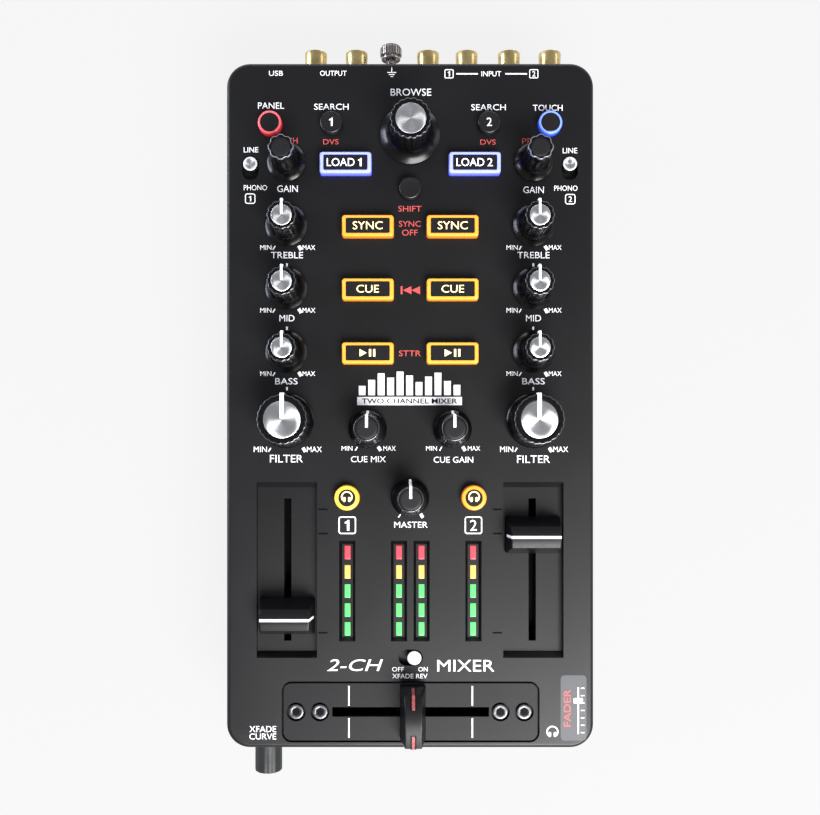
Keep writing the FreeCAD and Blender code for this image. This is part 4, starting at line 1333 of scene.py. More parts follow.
@dataclass(frozen=True)
class SlideCap:
    """Round cap of a slide switch with its shutter and stem."""
    radius: float = 2.6
    up: float = 0.8
    shutter: Point = (15.0, 8.0, 0.8)
    stem: Point = (3.0, 3.0, 5.6)

    def build(self, node: str, face: Finish, along_x: bool = False) -> bpy.types.Object:
        """Build the cap for a node with a given face; along_x turns the shutter.

        Args:
            node: node and body of the part.
            face: finish of the dished top.
            along_x: turn the shutter along X.
        Returns:
            The piece.
        """
        form = Form()
        r, top = self.radius, self.up
        # The sides of the cap below its rim are painted shade in the shutter's black.
        form.lathe([(r, -3.6), (r, top - 0.5), (r - 0.07, top - 0.2), (r - 0.25, top - 0.04),
                    (r - 0.45, top), (r - 0.7, top - 0.03), (r - 0.95, top - 0.14), (r * 0.4, top - 0.3),
                    (0.1, top - 0.34)], CAP_WHITE, 48,
                   marks={0: SHUTTER_BLACK_AND_SIDE_SHADE, 1: SHUTTER_BLACK_AND_SIDE_SHADE, 5: face, 6: face, 7: face, 9: face})
        long, short, thick = self.shutter
        size = (long, short, thick) if along_x else (short, long, thick)
        form.block(size, (0, 0, -4.0), SHUTTER_BLACK_AND_SIDE_SHADE, 0.4, 0.08)
        form.block(self.stem, (0, 0, -7.2), SHUTTER_BLACK_AND_SIDE_SHADE, 0.3, 0.1)
        form.move(on_panel(node))
        return put(f"look_{node}", form, node, [node])


class ButtonField:
    """Every button and switch on the panel."""

    def build(self) -> None:
        """Build lit bars, round buttons and slide caps."""
        lit_bar = LitBar()
        for side in (1, 2):
            lit_bar.build(f"load_button_{side}", LIT_BLUE, "button_blue",
                          [Label("LOAD", -1.7, 0, 2.9, 10.0)], LETTER_COOL, number=str(side))
            lit_bar.build(f"sync_button_{side}", LIT_ORANGE, "button_amber",
                          [Label("SYNC", 0, 0, 2.9, 10.8)], LETTER_WARM)
            lit_bar.build(f"cue_button_{side}", LIT_AMBER, "button_amber",
                          [Label("CUE", 0, 0, 2.8, 8.1)], LETTER_WARM)
            lit_bar.build(f"play_button_{side}", LIT_AMBER, "button_amber", [], LETTER_WARM, icon=True)
            RoundButton().build(f"search_button_{side}", "button_black", number=str(side))
        RoundButton().build("shift_button", "button_black")
        ringed = RoundButton(4.35, 3.0, 3.4)
        ringed.build("panel_button", "button_red", LIT_RED)
        ringed.build("touch_button", "button_blue", LIT_SKY)
        monitor = RoundButton(4.6, 3.0, 3.05)
        monitor.build("monitor_button_1", "button_yellow", LIT_YELLOW, phones=LETTER_WARM)
        monitor.build("monitor_button_2", "button_orange", LIT_ORANGE, phones=LETTER_WARM)
        cap = SlideCap()
        cap.build("line_switch_1", DISC_SPUN)
        cap.build("line_switch_2", DISC_SPUN)
        cap.build("reverse_switch", CAP_WHITE, along_x=True)


# ---- faders

def draft(base: float, top: float, low: float, high: float, z: float) -> float:
    """Half size at height z of a block that narrows from base to top."""
    share = min(max((z - low) / (high - low), 0.0), 1.0)
    return (base + (top - base) * share) / 2


@dataclass(frozen=True)
class FaderCap:
    """Tapered fader cap with a crowned roof, rounded ends and printed lines."""
    base: Pair
    top: Pair
    heights: Pair
    crown: float
    corner: float
    edge: float = 0.45

    def section(self) -> list[Pair]:
        """Outline of the cap seen along X, as (y, z) pairs from the front foot around.

        Returns:
            The outline, closed by its last point.
        """
        low, high = self.heights
        half = self.base[1] / 2
        roof = self.top[1] / 2 - self.edge
        drop = self.crown - math.sqrt(self.crown ** 2 - roof ** 2)
        right = [(half - 0.2, low), (half, low + 0.2), (half, low + 1.0),
                 (self.top[1] / 2 + 0.05, high - drop - self.edge),
                 (self.top[1] / 2 - 0.12, high - drop - 0.12)]
        arch = []
        for i in range(9):
            y = roof * (1 - i / 4)
            arch.append((y, high - self.crown + math.sqrt(self.crown ** 2 - y ** 2)))
        left = [(-y, z) for y, z in reversed(right)]
        return right + arch + left

    def half_width(self, z: float) -> float:
        """Half width along X at height z."""
        low, high = self.heights
        return draft(self.base[0], self.top[0], low + 0.8, high, z)

    def body(self, form: Form, finish: Finish) -> None:
        """Skin the cap along X with rounded ends.

        Args:
            form: form that receives the cap.
            finish: its plastic.
        """
        section = self.section()
        shares = (0.0, 0.25, 0.5, 0.75, 0.92, 1.0)
        span = self.corner
        half = self.base[0] / 2
        levels = [-half + span * s for s in shares] + [half - span * s for s in reversed(shares)]
        stack = []
        for x in levels:
            near = (half - abs(x)) / span
            tuck = span * (1 - math.sqrt(max(0.0, 1 - (1 - min(near, 1.0)) ** 2)))
            ring = []
            for y, z in section:
                pulled = max(abs(y) - tuck, 0.0)
                ring.append((x * self.half_width(z) / half, math.copysign(pulled, y), z))
            stack.append(ring)
        form.sweep(stack, finish)

    def ribbon(self, form: Form, path: Sequence[Pair], width: float, across_x: bool,
               finish: Finish, proud: float = 0.03) -> None:
        """Lay a thin printed ribbon over the cap.

        Args:
            form: form that receives the ribbon.
            path: (distance along, height) pairs on the surface.
            width: width of the ribbon.
            across_x: the path runs along X, otherwise along Y.
            finish: paint of the ribbon.
            proud: how far it stands out of the surface.
        """
        stack = []
        last = len(path) - 1
        for i, (a, z) in enumerate(path):
            before, after = path[max(i - 1, 0)], path[min(i + 1, last)]
            run = Vector((after[0] - before[0], after[1] - before[1])).normalized()
            out = Vector((-run.y, run.x))
            ring = []
            for side, lift in ((-1, -0.25), (1, -0.25), (1, proud), (-1, proud)):
                along = a + out.x * lift
                level = z + out.y * lift
                offset = side * width / 2
                ring.append((along, offset, level) if across_x else (offset, along, level))
            stack.append(ring)
        form.sweep(stack, finish)


class Faders:
    """Two channel fader caps and the crossfader cap."""

    channel = FaderCap((20.2, 13.3), (17.6, 7.9), (38.6, 49.4), 11.0, 0.7)
    cross = FaderCap((9.4, 20.2), (5.9, 18.8), (41.6, 56.1), 24.0, 0.9)
    # Widths of the white line, and of the dark groove of painted shade and pink inlay at each end of the
    # crossfader cap.
    line_w = 0.95
    groove_w = 2.0
    inlay_w = 1.1
    # Distance from the cap's middle to where an inlay begins.
    inlay_from = 4.9

    def build(self) -> None:
        """Build all three caps."""
        for index in (1, 2):
            node = f"channel_fader_cap_{index}"
            self.channel_cap(node, f"channel_fader_{index}")
        self.cross_cap()

    def channel_cap(self, node: str, body: str) -> None:
        """Build a channel fader cap with its white line.

        Args:
            node: node of the cap.
            body: body that carries it.
        """
        cap = self.channel
        form = Form()
        cap.body(form, CAP_SATIN)
        high = cap.heights[1]
        reach = cap.half_width(high)
        down = [(cap.half_width(z), z) for z in (cap.heights[0] + 3.2, high - 3.0, high - 0.5)]
        path = [(-x, z) for x, z in down] + [(-reach, high), (0.0, high), (reach, high)]
        path += [(x, z) for x, z in reversed(down)]
        cap.ribbon(form, path, self.line_w, True, LINE_WHITE)
        middle = centre_of(node)
        form.move(Matrix.Translation((middle.x, middle.y, 0)))
        put(f"look_{node}", form, body, [node], CAP_SHARP)

    def cross_cap(self) -> None:
        """Build the crossfader cap with a pink inlay at each end, in a dark groove of painted shade."""
        cap = self.cross
        form = Form()
        cap.body(form, CAP_SATIN)
        low, high = cap.heights
        section = cap.section()
        front = [(y, z) for y, z in section if y > 4.4 and z > low + 4.0]
        front.sort(key=lambda p: (p[1] < high - 3.0, p[0], -p[1]))
        near = high - cap.crown + math.sqrt(cap.crown ** 2 - self.inlay_from ** 2)
        slope = [(self.inlay_from, near)] + front
        slope.append((draft(cap.base[1], cap.top[1], low + 1.0, high - 2.0, low + 5.0), low + 5.0))
        for side in (1, -1):
            path = [(side * y, z) for y, z in slope]
            if side > 0:
                path.reverse()
            cap.ribbon(form, path, self.groove_w, False, PAINTED_SHADE_BLACK, 0.015)
            cap.ribbon(form, path, self.inlay_w, False, INLAY_PINK, 0.035)
        middle = centre_of("crossfader_cap")
        form.move(Matrix.Translation((middle.x, middle.y, 0)))
        put("look_crossfader_cap", form, "crossfader", ["crossfader_cap"], CAP_SHARP)


# ---- meters, plate, screws

@dataclass(frozen=True)
class Meters:
    """Twenty light pipes in four columns: one red, one amber and three green in each."""
    columns: tuple[float, ...] = (-22.9, -4.05, 4.2, 23.1)
    rows: tuple[float, ...] = (-53.8, -60.9, -67.9, -74.9, -81.8)
    width: float = 2.15
    depth: float = 5.0
    low: float = 34.0
    high: float = 39.34
    mouth: Pair = (5.86, 36.66)
    floor: Pair = (4.0, 34.2)
    floor_z: float = 39.23

    def lens(self, finish: Lit) -> Form:
        """One lens with a slightly domed face that glows most in the middle.

        Args:
            finish: lit plastic of the lens.
        Returns:
            The lens, in place in height only.
        """
        form = Form()
        w, d, top = self.width, self.depth, self.high
        stack = [(0.0, self.low, 0.0), (0.0, top - 0.1, 0.3), (0.08, top - 0.03, 0.7),
                 (0.25, top - 0.01, 0.95), (0.5, top, 1.0)]
        form.sweep([rounded(w - 2 * i, d - 2 * i, 0.15, z, 3) for i, z, _ in stack], finish,
                   glow=[g for _, _, g in stack])
        return form

    def shade_tray(self) -> Form:
        """Painted shade in one meter channel: a thin dark sheet on the sloping walls and the flat floor.

        Returns:
            The painted shade, in place in height only.
        """
        form = Form()
        stack = [(*self.floor, self.floor_z), (*self.mouth, PANEL_Z - 0.01), (*self.mouth, PANEL_Z - 0.04),
                 (*self.floor, self.floor_z - 0.1)]
        form.sweep([rounded(w, d, 0.3, z, 3) for w, d, z in stack], PAINTED_SHADE_BLACK)
        return form

    def build(self, workshop: Workshop) -> None:
        """Lay painted shade in the channels and place the lenses of each colour as one piece.

        Args:
            workshop: patterns to use.
        """
        middle = (self.rows[0] + self.rows[-1]) / 2 + CASE_Y
        shade_liner = Form()
        places = [(x, middle, 0.0) for x in self.columns]
        shade_liner.absorb(workshop.copies(self.shade_tray(), PAINTED_SHADE_BLACK, places), PAINTED_SHADE_BLACK)
        for x, y, _ in places:
            width, depth = self.floor
            shade_liner.block((width, depth, 0.06), (x, y, self.floor_z + 0.01), CASE_BLACK, 0.3, 0.01)
        put("look_meter_liners", shade_liner, "root")
        groups = {"red": (LENS_RED, self.rows[:1]), "amber": (LENS_AMBER, self.rows[1:2]),
                  "green": (LENS_GREEN, self.rows[2:])}
        for colour, (finish, rows) in groups.items():
            form = Form()
            for x in self.columns:
                for y in rows:
                    start = len(form.points)
                    self.copy(form, finish)
                    form.move(Matrix.Translation((x, y + CASE_Y, 0)), start)
            nodes = ["meter_leds"] if colour == "green" else []
            put(f"look_meter_{colour}", form, "root", nodes)

    def copy(self, form: Form, finish: Lit) -> None:
        """Add one lens to a form, keeping its stored glow.

        Args:
            form: form that receives the lens.
            finish: lit plastic of the lens.
        """
        lens = self.lens(finish)
        base = len(form.points)
        form.points.extend(p.copy() for p in lens.points)
        form.spots.extend(lens.spots)
        form.glow.extend(lens.glow)
        form.faces.extend([base + i for i in face] for face in lens.faces)
        form.marks.extend(lens.marks)


@dataclass(frozen=True)
class Fasteners:
    """Hex socket screws of the plate, cross-head case screws and rubber feet."""
    head_r: float = 2.75
    head: Pair = (39.3, 40.9)
    flats: float = 2.5
    plate_xs: tuple[float, ...] = (-41.6, -32.9, 32.9, 41.6)
    plate_y: float = -111.75
    bosses: tuple[Pair, ...] = ((-60.5, -100), (-60.5, 0), (-60.5, 100),
                                               (60.5, -100), (60.5, 0), (60.5, 100))
    feet: tuple[Pair, ...] = ((-54, -114), (54, -114), (-54, 114), (54, 114))

    def socket_screw(self) -> Form:
        """Screw with a chamfered head and a hexagonal pocket.

        Returns:
            The screw about the local axis.
        """
        form = Form()
        low, high = self.head
        r, n = self.head_r, 48
        outlines = [circle(1.5, 35.2, n), circle(1.5, low, n), circle(r - 0.1, low, n),
                    circle(r, low + 0.1, n), circle(r, high - 0.35, n), circle(r - 0.1, high - 0.1, n),
                    circle(r - 0.32, high, n), circle(1.75, high, n),
                    hexagon(self.flats + 0.15, high - 0.12, n), hexagon(self.flats, high - 0.2, n),
                    hexagon(self.flats, high - 1.1, n), circle(0.2, high - 1.35, n)]
        form.sweep(outlines, SCREW_BLACK)
        return form

    def pocket(self) -> Form:
        """Painted shade in the hexagonal pocket: a thin dark sheet on its walls and floor.

        Returns:
            The painted shade about the local axis.
        """
        form = Form()
        high = self.head[1]
        sizes = ((self.flats + 0.02, high - 0.16), (self.flats - 0.3, high - 0.3),
                 (self.flats - 0.4, high - 0.9))
        form.sweep([hexagon(*size, 24) for size in sizes] + [circle(0.3, high - 1.1, 24)], PAINTED_SHADE_BLACK)
        return form

    def case_screw(self) -> Form:
        """Cross-head screw, head down.

        Returns:
            The screw about the local axis.
        """
        low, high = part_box("case_screws")
        base, tip = low[2] / MM, high[2] / MM
        form = Form()
        form.lathe([(0.2, base + 0.6), (0.5, base + 0.9), (0.9, base + 0.15), (1.6, base + 0.02),
                    (2.2, base + 0.25), (2.6, base + 0.9), (2.7, base + 1.8), (1.3, base + 1.85),
                    (1.3, tip - 0.8), (0.8, tip)], ZINC_BLACK, 32)
        return form

    def foot(self) -> Form:
        """Round foot with a dished underside.

        Returns:
            The foot about the local axis.
        """
        form = Form()
        form.lathe([(2.6, 0.5), (2.9, 0.1), (3.1, 0.0), (5.4, 0.0), (5.8, 0.15), (6.0, 0.5),
                    (6.35, 2.4), (6.45, 2.98)], RUBBER, 48)
        return form

    def build(self, workshop: Workshop) -> None:
        """Repeat each fastener at its places and lay painted shade in the screw pockets.

        Args:
            workshop: patterns to use.
        """
        rows = [(x, self.plate_y + CASE_Y, 0.0) for x in self.plate_xs]
        self.repeat(workshop, "crossfader_screws", self.socket_screw(), SCREW_BLACK, rows)
        pocket_shade = Form()
        pocket_shade.absorb(workshop.copies(self.pocket(), PAINTED_SHADE_BLACK, rows), PAINTED_SHADE_BLACK)
        put("look_screw_pockets", pocket_shade, "root")
        rows = [(x, y + CASE_Y, 0.0) for x, y in self.bosses]
        self.repeat(workshop, "case_screws", self.case_screw(), ZINC_BLACK, rows)
        rows = [(x, y + CASE_Y, 0.0) for x, y in self.feet]
        self.repeat(workshop, "rubber_feet", self.foot(), RUBBER, rows)

    def repeat(self, workshop: Workshop, node: str, item: Form, finish: Finish,
               places: Sequence[Point]) -> None:
        """Repeat one item and stand it in for its node.

        Args:
            workshop: patterns to use.
            node: node that the copies replace.
            item: the fastener.
            finish: its finish.
            places: places of the copies.
        """
        form = Form()
        form.absorb(workshop.copies(item, finish, places), finish)
        put(f"look_{node}", form, "root", [node])


# ---- rear connectors

@dataclass(frozen=True)
class RearRow:
    """Phono sockets and the ground terminal on the rear wall."""
    xs: tuple[float, ...] = (-35.6, -20.1, 7.0, 21.7, 37.8, 53.3)
    axis_z: float = 26.0
    wall_y: float = 125.0 + CASE_Y
    sleeve_r: float = 4.15
    bore_r: float = 3.45
    tip: float = 9.5
    housing: Point = (10.4, 13.0, 15.0)
    housing_y: float = 116.0 + CASE_Y
    ground_x: float = -7.1
    thread_pitch: float = 0.7
    screw_head: float = 4.5
    knurls: int = 24

    def sleeve(self) -> Form:
        """Gold sleeve with a rolled lip, upright on its axis.

        Returns:
            The sleeve, turned to the rear.
        """
        form = Form()
        r, b, tip = self.sleeve_r, self.bore_r, self.tip
        form.lathe((
            (r - 0.06, 1.0), (r - 0.06, 1.6), (r, 1.8), (r, 2.3), (r - 0.07, 2.5),
            (r - 0.07, 7.4), (r, 7.6), (r, 8.0), (r, tip - 0.2), (r - 0.05, tip - 0.05),
            (r - 0.2, tip), (b + 0.15, tip), (b, tip - 0.2), (b, 1.0)), GOLD, 56, closed=True)
        return form.move(facing_rear(0, self.wall_y, self.axis_z))

    def core(self) -> Form:
        """Moulded insulator with the centre bore and its seat on the wall.

        Returns:
            The insulator, turned to the rear.
        """
        form = Form()
        form.lathe((
            (4.9, -2.5), (4.9, 0.7), (4.75, 0.92), (4.4, 1.0), (4.18, 1.0), (3.42, 1.0), (3.42, 8.1),
            (3.2, 8.45), (2.1, 8.5), (1.75, 8.2), (1.6, 7.9), (1.6, -3.4)), INSULATOR, 48, closed=True)
        return form.move(facing_rear(0, self.wall_y, self.axis_z))

    def build(self, workshop: Workshop) -> None:
        """Build the phono row and the ground terminal.

        Args:
            workshop: patterns to use.
        """
        rows = [(x, 0.0, 0.0) for x in self.xs]
        form = Form()
        form.absorb(workshop.copies(self.sleeve(), GOLD, rows), GOLD)
        form.absorb(workshop.copies(self.core(), INSULATOR, rows), INSULATOR)
        for x in self.xs:
            form.block(self.housing, (x, self.housing_y, self.axis_z), SOCKET_BLACK, 0.4, 0.3)
        put("look_rca_sockets", form, "root", ["rca_sockets"])
        self.ground(workshop)

    def ground(self, workshop: Workshop) -> None:
        """Build the bushing, the washer and the knurled screw.

        Args:
            workshop: patterns to use.
        """
        x = self.ground_x
        bushing = Form()
        bushing.lathe((
            (3.6, -7.0), (3.6, 0.0), (4.7, 0.0), (5.0, 0.25), (5.0, 1.1), (4.7, 1.4), (3.6, 1.4),
            (3.6, 3.7), (3.35, 4.0), (2.35, 4.0), (2.08, 3.7), (2.08, -7.0)), NICKEL, 48, closed=True)
        bushing.move(facing_rear(x, self.wall_y, self.axis_z))
        put("look_ground_bushing", bushing, "root", ["ground_bushing"])
        low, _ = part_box("ground_washer")
        washer = Form()
        washer.lathe((
            (2.06, 0.05), (2.16, 0.0), (3.45, 0.0), (3.6, 0.15), (3.6, 0.65), (3.45, 0.8),
            (2.16, 0.8), (2.06, 0.75)), NICKEL, 48, closed=True)
        washer.move(facing_rear(x, low[1] / MM, self.axis_z))
        put("look_ground_washer", washer, "ground_washer", ["ground_washer"])
        low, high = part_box("ground_screw")
        tail, tip = low[1] / MM, high[1] / MM
        length = tip - tail
        screw = Form()
        head = length - self.screw_head
        pitch = self.thread_pitch
        thread = []
        for i in range(int((head - 0.1) / pitch)):
            thread += [(1.72, 0.4 + pitch * i), (1.98, 0.4 + pitch * i + 0.28)]
        screw.lathe([(1.3, 0.0)] + thread + [(1.7, head - 0.05), (3.3, head), (3.6, head + 0.3),
                    (3.6, length - 0.75), (3.55, length - 0.3), (3.2, length - 0.02), (2.4, length),
                    (1.9, length - 0.25), (0.3, length - 0.3)], NICKEL, 48)
        tooth = Form()
        tooth.sweep([[(3.5 + reach * 0.55, -0.3 + 0.06 * (1 - reach), z), (3.5 + reach * 0.6, 0.0, z),
                      (3.5 + reach * 0.55, 0.3 - 0.06 * (1 - reach), z), (3.2, 0.3, z), (3.2, -0.3, z)]
                     for z, reach in ((head + 0.3, 0.2), (head + 0.7, 1.0), (length - 1.15, 1.0),
                                      (length - 0.7, 0.2))], NICKEL)
        screw.absorb(workshop.copies(tooth, NICKEL, count=self.knurls), NICKEL)
        screw.move(facing_rear(x, tail, self.axis_z))
        put("look_ground_screw", screw, "ground_screw", ["ground_screw"])


# ---- kept nodes

class KeptNodes:
    """Nodes shown as they are: smoothed by a modifier and given a finish."""

    finishes = {
        "top_case": CASE_BLACK, "bottom_case": BASE_BLACK, "crossfader_plate": PLATE_BLACK,
        "usb_socket": TINNED, "headphone_sockets": SOCKET_BLACK, "circuit_boards": BOARD,
        "rotary_pots": STEEL, "browse_encoder": STEEL, "button_switches": SOCKET_BLACK,
        # The fader tracks sit in their slots; their dead black is painted shade.
        "slide_switches": STEEL, "channel_fader_tracks": PAINTED_SHADE_BLACK, "crossfader_track": PAINTED_SHADE_BLACK,
        "channel_fader_lever_1": ZINC_BLACK, "channel_fader_lever_2": ZINC_BLACK,
        "crossfader_lever": ZINC_BLACK, "browse_plunger": STEEL,
    }

    def __init__(self) -> None:
        """Make the smoothing group shared by the kept nodes."""
        self.group = bpy.data.node_groups.new("smooth_shading", "GeometryNodeTree")
        face = self.group.interface
        face.new_socket(name="Geometry", in_out="INPUT", socket_type="NodeSocketGeometry")
        face.new_socket(name="Geometry", in_out="OUTPUT", socket_type="NodeSocketGeometry")
        inlet = add(self.group, "NodeGroupInput").outputs
        joined = add(self.group, "GeometryNodeMergeByDistance",
                     {"Geometry": inlet["Geometry"], "Distance": 0.002 * MM})
        bend = add(self.group, "GeometryNodeInputMeshEdgeAngle").outputs["Unsigned Angle"]
        soft = add(self.group, "FunctionNodeCompare", {0: bend, 1: math.radians(28)},
                   data_type="FLOAT", operation="LESS_THAN")
        faces = add(self.group, "GeometryNodeSetShadeSmooth",
                    {"Geometry": joined.outputs["Geometry"], "Shade Smooth": True}, domain="FACE")
        edges = add(self.group, "GeometryNodeSetShadeSmooth",
                    {"Geometry": faces.outputs["Geometry"], "Shade Smooth": soft.outputs["Result"]},
                    domain="EDGE")
        add(self.group, "NodeGroupOutput", {"Geometry": edges.outputs["Geometry"]})

    def dress(self, nodes: dict[str, bpy.types.Object]) -> None:
        """Give every kept node its finish and the smoothing modifier.

        Args:
            nodes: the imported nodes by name.
        """
        for name, finish in self.finishes.items():
            node = nodes[name]
            node.data.materials.clear()
            node.data.materials.append(finish.material())
            modifier = node.modifiers.new("smooth", "NODES")
            modifier.node_group = self.group
            print(f"kept {name}")


# ---- printing

WHITE_WORDS = (
    Label("USB", -48.9, 121.1, 1.86, 5.1), Label("OUTPUT", -28.0, 121.1, 1.86, 9.7),
    Label("INPUT", 29.6, 120.9, 1.86, 7.2), Label("PANEL", -50.7, 109.3, 2.3, 9.5),
    Label("SEARCH", -28.7, 108.9, 2.2, 12.6), Label("BROWSE", 0.3, 114.2, 2.6, 14.8),
    Label("SEARCH", 28.6, 108.7, 2.2, 12.6), Label("TOUCH", 50.2, 108.5, 2.2, 10.8),
    Label("LINE", -58.0, 93.2, 1.9, 5.3), Label("LINE", 58.3, 92.9, 1.9, 5.3),
    Label("PHONO", -56.4, 79.4, 1.9, 8.5), Label("PHONO", 56.8, 79.2, 1.9, 8.5),
    Label("GAIN", -44.7, 79.0, 2.44, 7.5), Label("GAIN", 45.0, 78.6, 2.44, 7.5),
    Label("TREBLE", -44.9, 54.8, 2.3, 11.7), Label("TREBLE", 45.0, 54.8, 2.3, 11.7),
    Label("MID", -44.9, 31.8, 2.3, 5.5), Label("MID", 45.0, 31.8, 2.3, 5.5),
    Label("BASS", -45.1, 8.8, 2.3, 8.2), Label("BASS", 45.0, 8.8, 2.3, 8.2),
    Label("FILTER", -45.1, -19.4, 2.73, 12.0), Label("FILTER", 45.0, -19.6, 2.73, 12.0),
    Label("CUE MIX", -15.2, -19.6, 2.2, 12.7), Label("CUE GAIN", 15.8, -19.8, 2.2, 14.4),
    Label("MASTER", 0.3, -43.5, 2.2, 12.2), Label("OFF", -4.4, -96.2, 1.65, 4.3),
    Label("ON", 4.7, -96.2, 1.65, 3.4), Label("XFADE REV", -0.1, -98.7, 1.65, 12.8),
    Label("XFADE", -53.7, -118.0, 2.2, 9.8), Label("CURVE", -53.7, -120.7, 2.2, 9.8),
)
RED_WORDS = (
    Label("DVS", -28.9, 96.1, 1.9, 5.6), Label("DVS", 28.4, 96.0, 1.9, 5.6),
    Label("CH", -42.9, 96.5, 2.2, 3.8), Label("PRE", 43.7, 96.3, 2.2, 5.7),
    Label("SHIFT", -0.1, 71.7, 2.1, 8.4), Label("SYNC", -0.1, 66.2, 2.1, 8.0),
    Label("OFF", -0.1, 63.0, 2.2, 5.7), Label("STTR", -0.1, 19.0, 2.1, 8.0),
)


@dataclass(frozen=True)
class Dial:
    """Printed end marks and words around one knob."""
    x: float
    y: float
    reach: float
    word_x: float
    word_y: float
    word_h: float
    noon: bool = True
    words: bool = True


class Legends:
    """Everything printed on the panel, one piece for each ink."""

    channel_x = 44.9
    rows = (65.3, 42.4, 19.3)
    end_slant = 31

    def dials(self) -> list[Dial]:
        """Places of the end marks of every knob that has them.

        Returns:
            One dial for each marked knob.
        """
        found = []
        for side in (-1, 1):
            for y in self.rows:
                found.append(Dial(side * self.channel_x, y, 9.2, 7.7, 7.7, 1.7, y != self.rows[0]))
            found.append(Dial(side * self.channel_x, -5.7, 12.2, 9.7, 10.3, 2.0))
            found.append(Dial(side * 15.4, -8.75, 8.2, 7.6, 6.9, 1.65, False))
        found.append(Dial(0.2, -33.5, 7.8, 0.0, 0.0, 0.0, False, False))
        return found

    def build(self) -> None:
        """Print the white, red, grey and black inks and the engraved ticks."""
        white, red = Form(), Form()
        for word in WHITE_WORDS:
            white.absorb(word.mesh(*INK_Z), INK_WHITE)
        for word in RED_WORDS:
            red.absorb(word.mesh(*INK_Z), INK_RED)
        for dial in self.dials():
            self.dial(white, dial)
        self.rear(white)
        self.numbers(white)
        self.rewind(red)
        self.emblem(white)
        self.names(white)
        headphones(white, 51.9, -119.0, 4.4, INK_Z, INK_WHITE)
        self.crossfader_ticks(white)
        plaque, dark = Form(), Form()
        self.plaque(plaque, white, red)
        self.fader_ticks(dark)
        for name, form in (("white", white), ("red", red), ("grey", plaque), ("dark", dark)):
            form.move(Matrix.Translation((0, CASE_Y, 0)))
            put(f"print_{name}", form, "root")

    def dial(self, form: Form, dial: Dial) -> None:
        """Print MIN and MAX, their end marks and the small mark at noon.

        Args:
            form: white ink.
            dial: sizes of the marks.
        """
        turn = math.radians(180 - self.end_slant)
        for side, size in ((-1, (0.42, 1.6)), (1, (1.15, 1.75))):
            x = dial.x + side * dial.reach * math.sin(turn)
            y = dial.y + dial.reach * math.cos(turn)
            bar(form, x, y, *size, turn=side * self.end_slant)
        if dial.noon:
            bar(form, dial.x, dial.y + dial.reach - 0.4, 0.65, 1.2)
        if not dial.words:
            return
        wide = dial.word_h * 2.4
        low = dial.y - dial.word_y
        for word, x, width in (("MIN", dial.x - dial.word_x, wide),
                               ("MAX", dial.x + dial.word_x + 0.3, wide * 1.13)):
            form.absorb(Label(word, x, low, dial.word_h, width).mesh(*INK_Z), INK_WHITE)

    def rear(self, form: Form) -> None:
        """Print the ground sign and the two boxed input numbers with their lines.

        Args:
            form: white ink.
        """
        bar(form, -6.7, 122.3, 0.3, 1.7)
        for step, width in enumerate((3.3, 2.1, 0.9)):
            bar(form, -6.7, 121.4 - 0.75 * step, width, 0.28)
        for x, number in ((14.2, "1"), (45.1, "2")):
            frame_ring(form, 3.3, 3.3, 0.5, 0.3, (x, 120.9), INK_Z, INK_WHITE)
            self.figure(form, number, x, 120.9, 1.9)
        for x in (20.8, 38.7):
            bar(form, x, 120.9, 7.9, 0.47)

    def numbers(self, form: Form) -> None:
        """Print the boxed channel numbers under the switches and above the meters.

        Args:
            form: white ink.
        """
        for x, y, box_size, line, high, number in (
                (-58.3, 75.4, 3.8, 0.34, 2.0, "1"), (58.4, 75.2, 3.8, 0.34, 2.0, "2"),
                (-22.9, -43.7, 6.4, 0.45, 3.9, "1"), (23.1, -43.7, 6.4, 0.45, 3.9, "2")):
            frame_ring(form, box_size, box_size, 0.9, line, (x, y), INK_Z, INK_WHITE)
            self.figure(form, number, x, y, high)

    def figure(self, form: Form, number: str, x: float, y: float, high: float) -> None:
        """Print one channel number.

        Args:
            form: white ink.
            number: the number.
            x: middle along X.
            y: middle along Y.
            high: height of the figure.
        """
        if number == "1":
            figure_one(form, x, y, high, INK_Z, INK_WHITE)
        else:
            form.absorb(Label(number, x, y, high, high * 0.64).mesh(*INK_Z), INK_WHITE)

    def rewind(self, form: Form) -> None:
        """Print the back-to-start sign between the cue buttons.

        Args:
            form: red ink.
        """
        x, y, high = 0.1, 42.0, 2.9
        bar(form, x - 3.2, y, 0.7, high, finish=INK_RED)
        for left in (-2.7, 0.4):
            form.slab([(x + left, y), (x + left + 3.1, y - high / 2), (x + left + 3.1, y + high / 2)],
                      *INK_Z, INK_RED)

    def emblem(self, form: Form) -> None:
        """Print a row of level bars over a boxed line of words.

        Args:
            form: white ink.
        """
        heights = (3.4, 5.6, 8.0, 6.4, 8.6, 7.2, 4.8, 6.8, 8.2, 5.2, 3.8)
        wide, left, foot = 38.0, -19.2, 3.7
        pitch = wide / len(heights)
        for i, high in enumerate(heights):
            bar(form, left + pitch * (i + 0.5), foot + high / 2, pitch * 0.72, high)
        bar(form, -0.2, 1.6, wide + 0.2, 3.0)
        words = Label("TWO CHANNEL MIXER", -0.2, 1.6, 1.9, 34.8, 0.0, 0.02)
        form.absorb(words.mesh(*OVERPRINT_Z), INK_BLACK)

    def names(self, form: Form) -> None:
        """Print the two plain names beside the reverse switch."""
        form.absorb(Label("2-CH", -20.1, -94.7, 4.3, 20.4, 0.25).mesh(*INK_Z), INK_WHITE)
        form.absorb(Label("MIXER", 20.3, -94.9, 4.2, 20.8).mesh(*INK_Z), INK_WHITE)

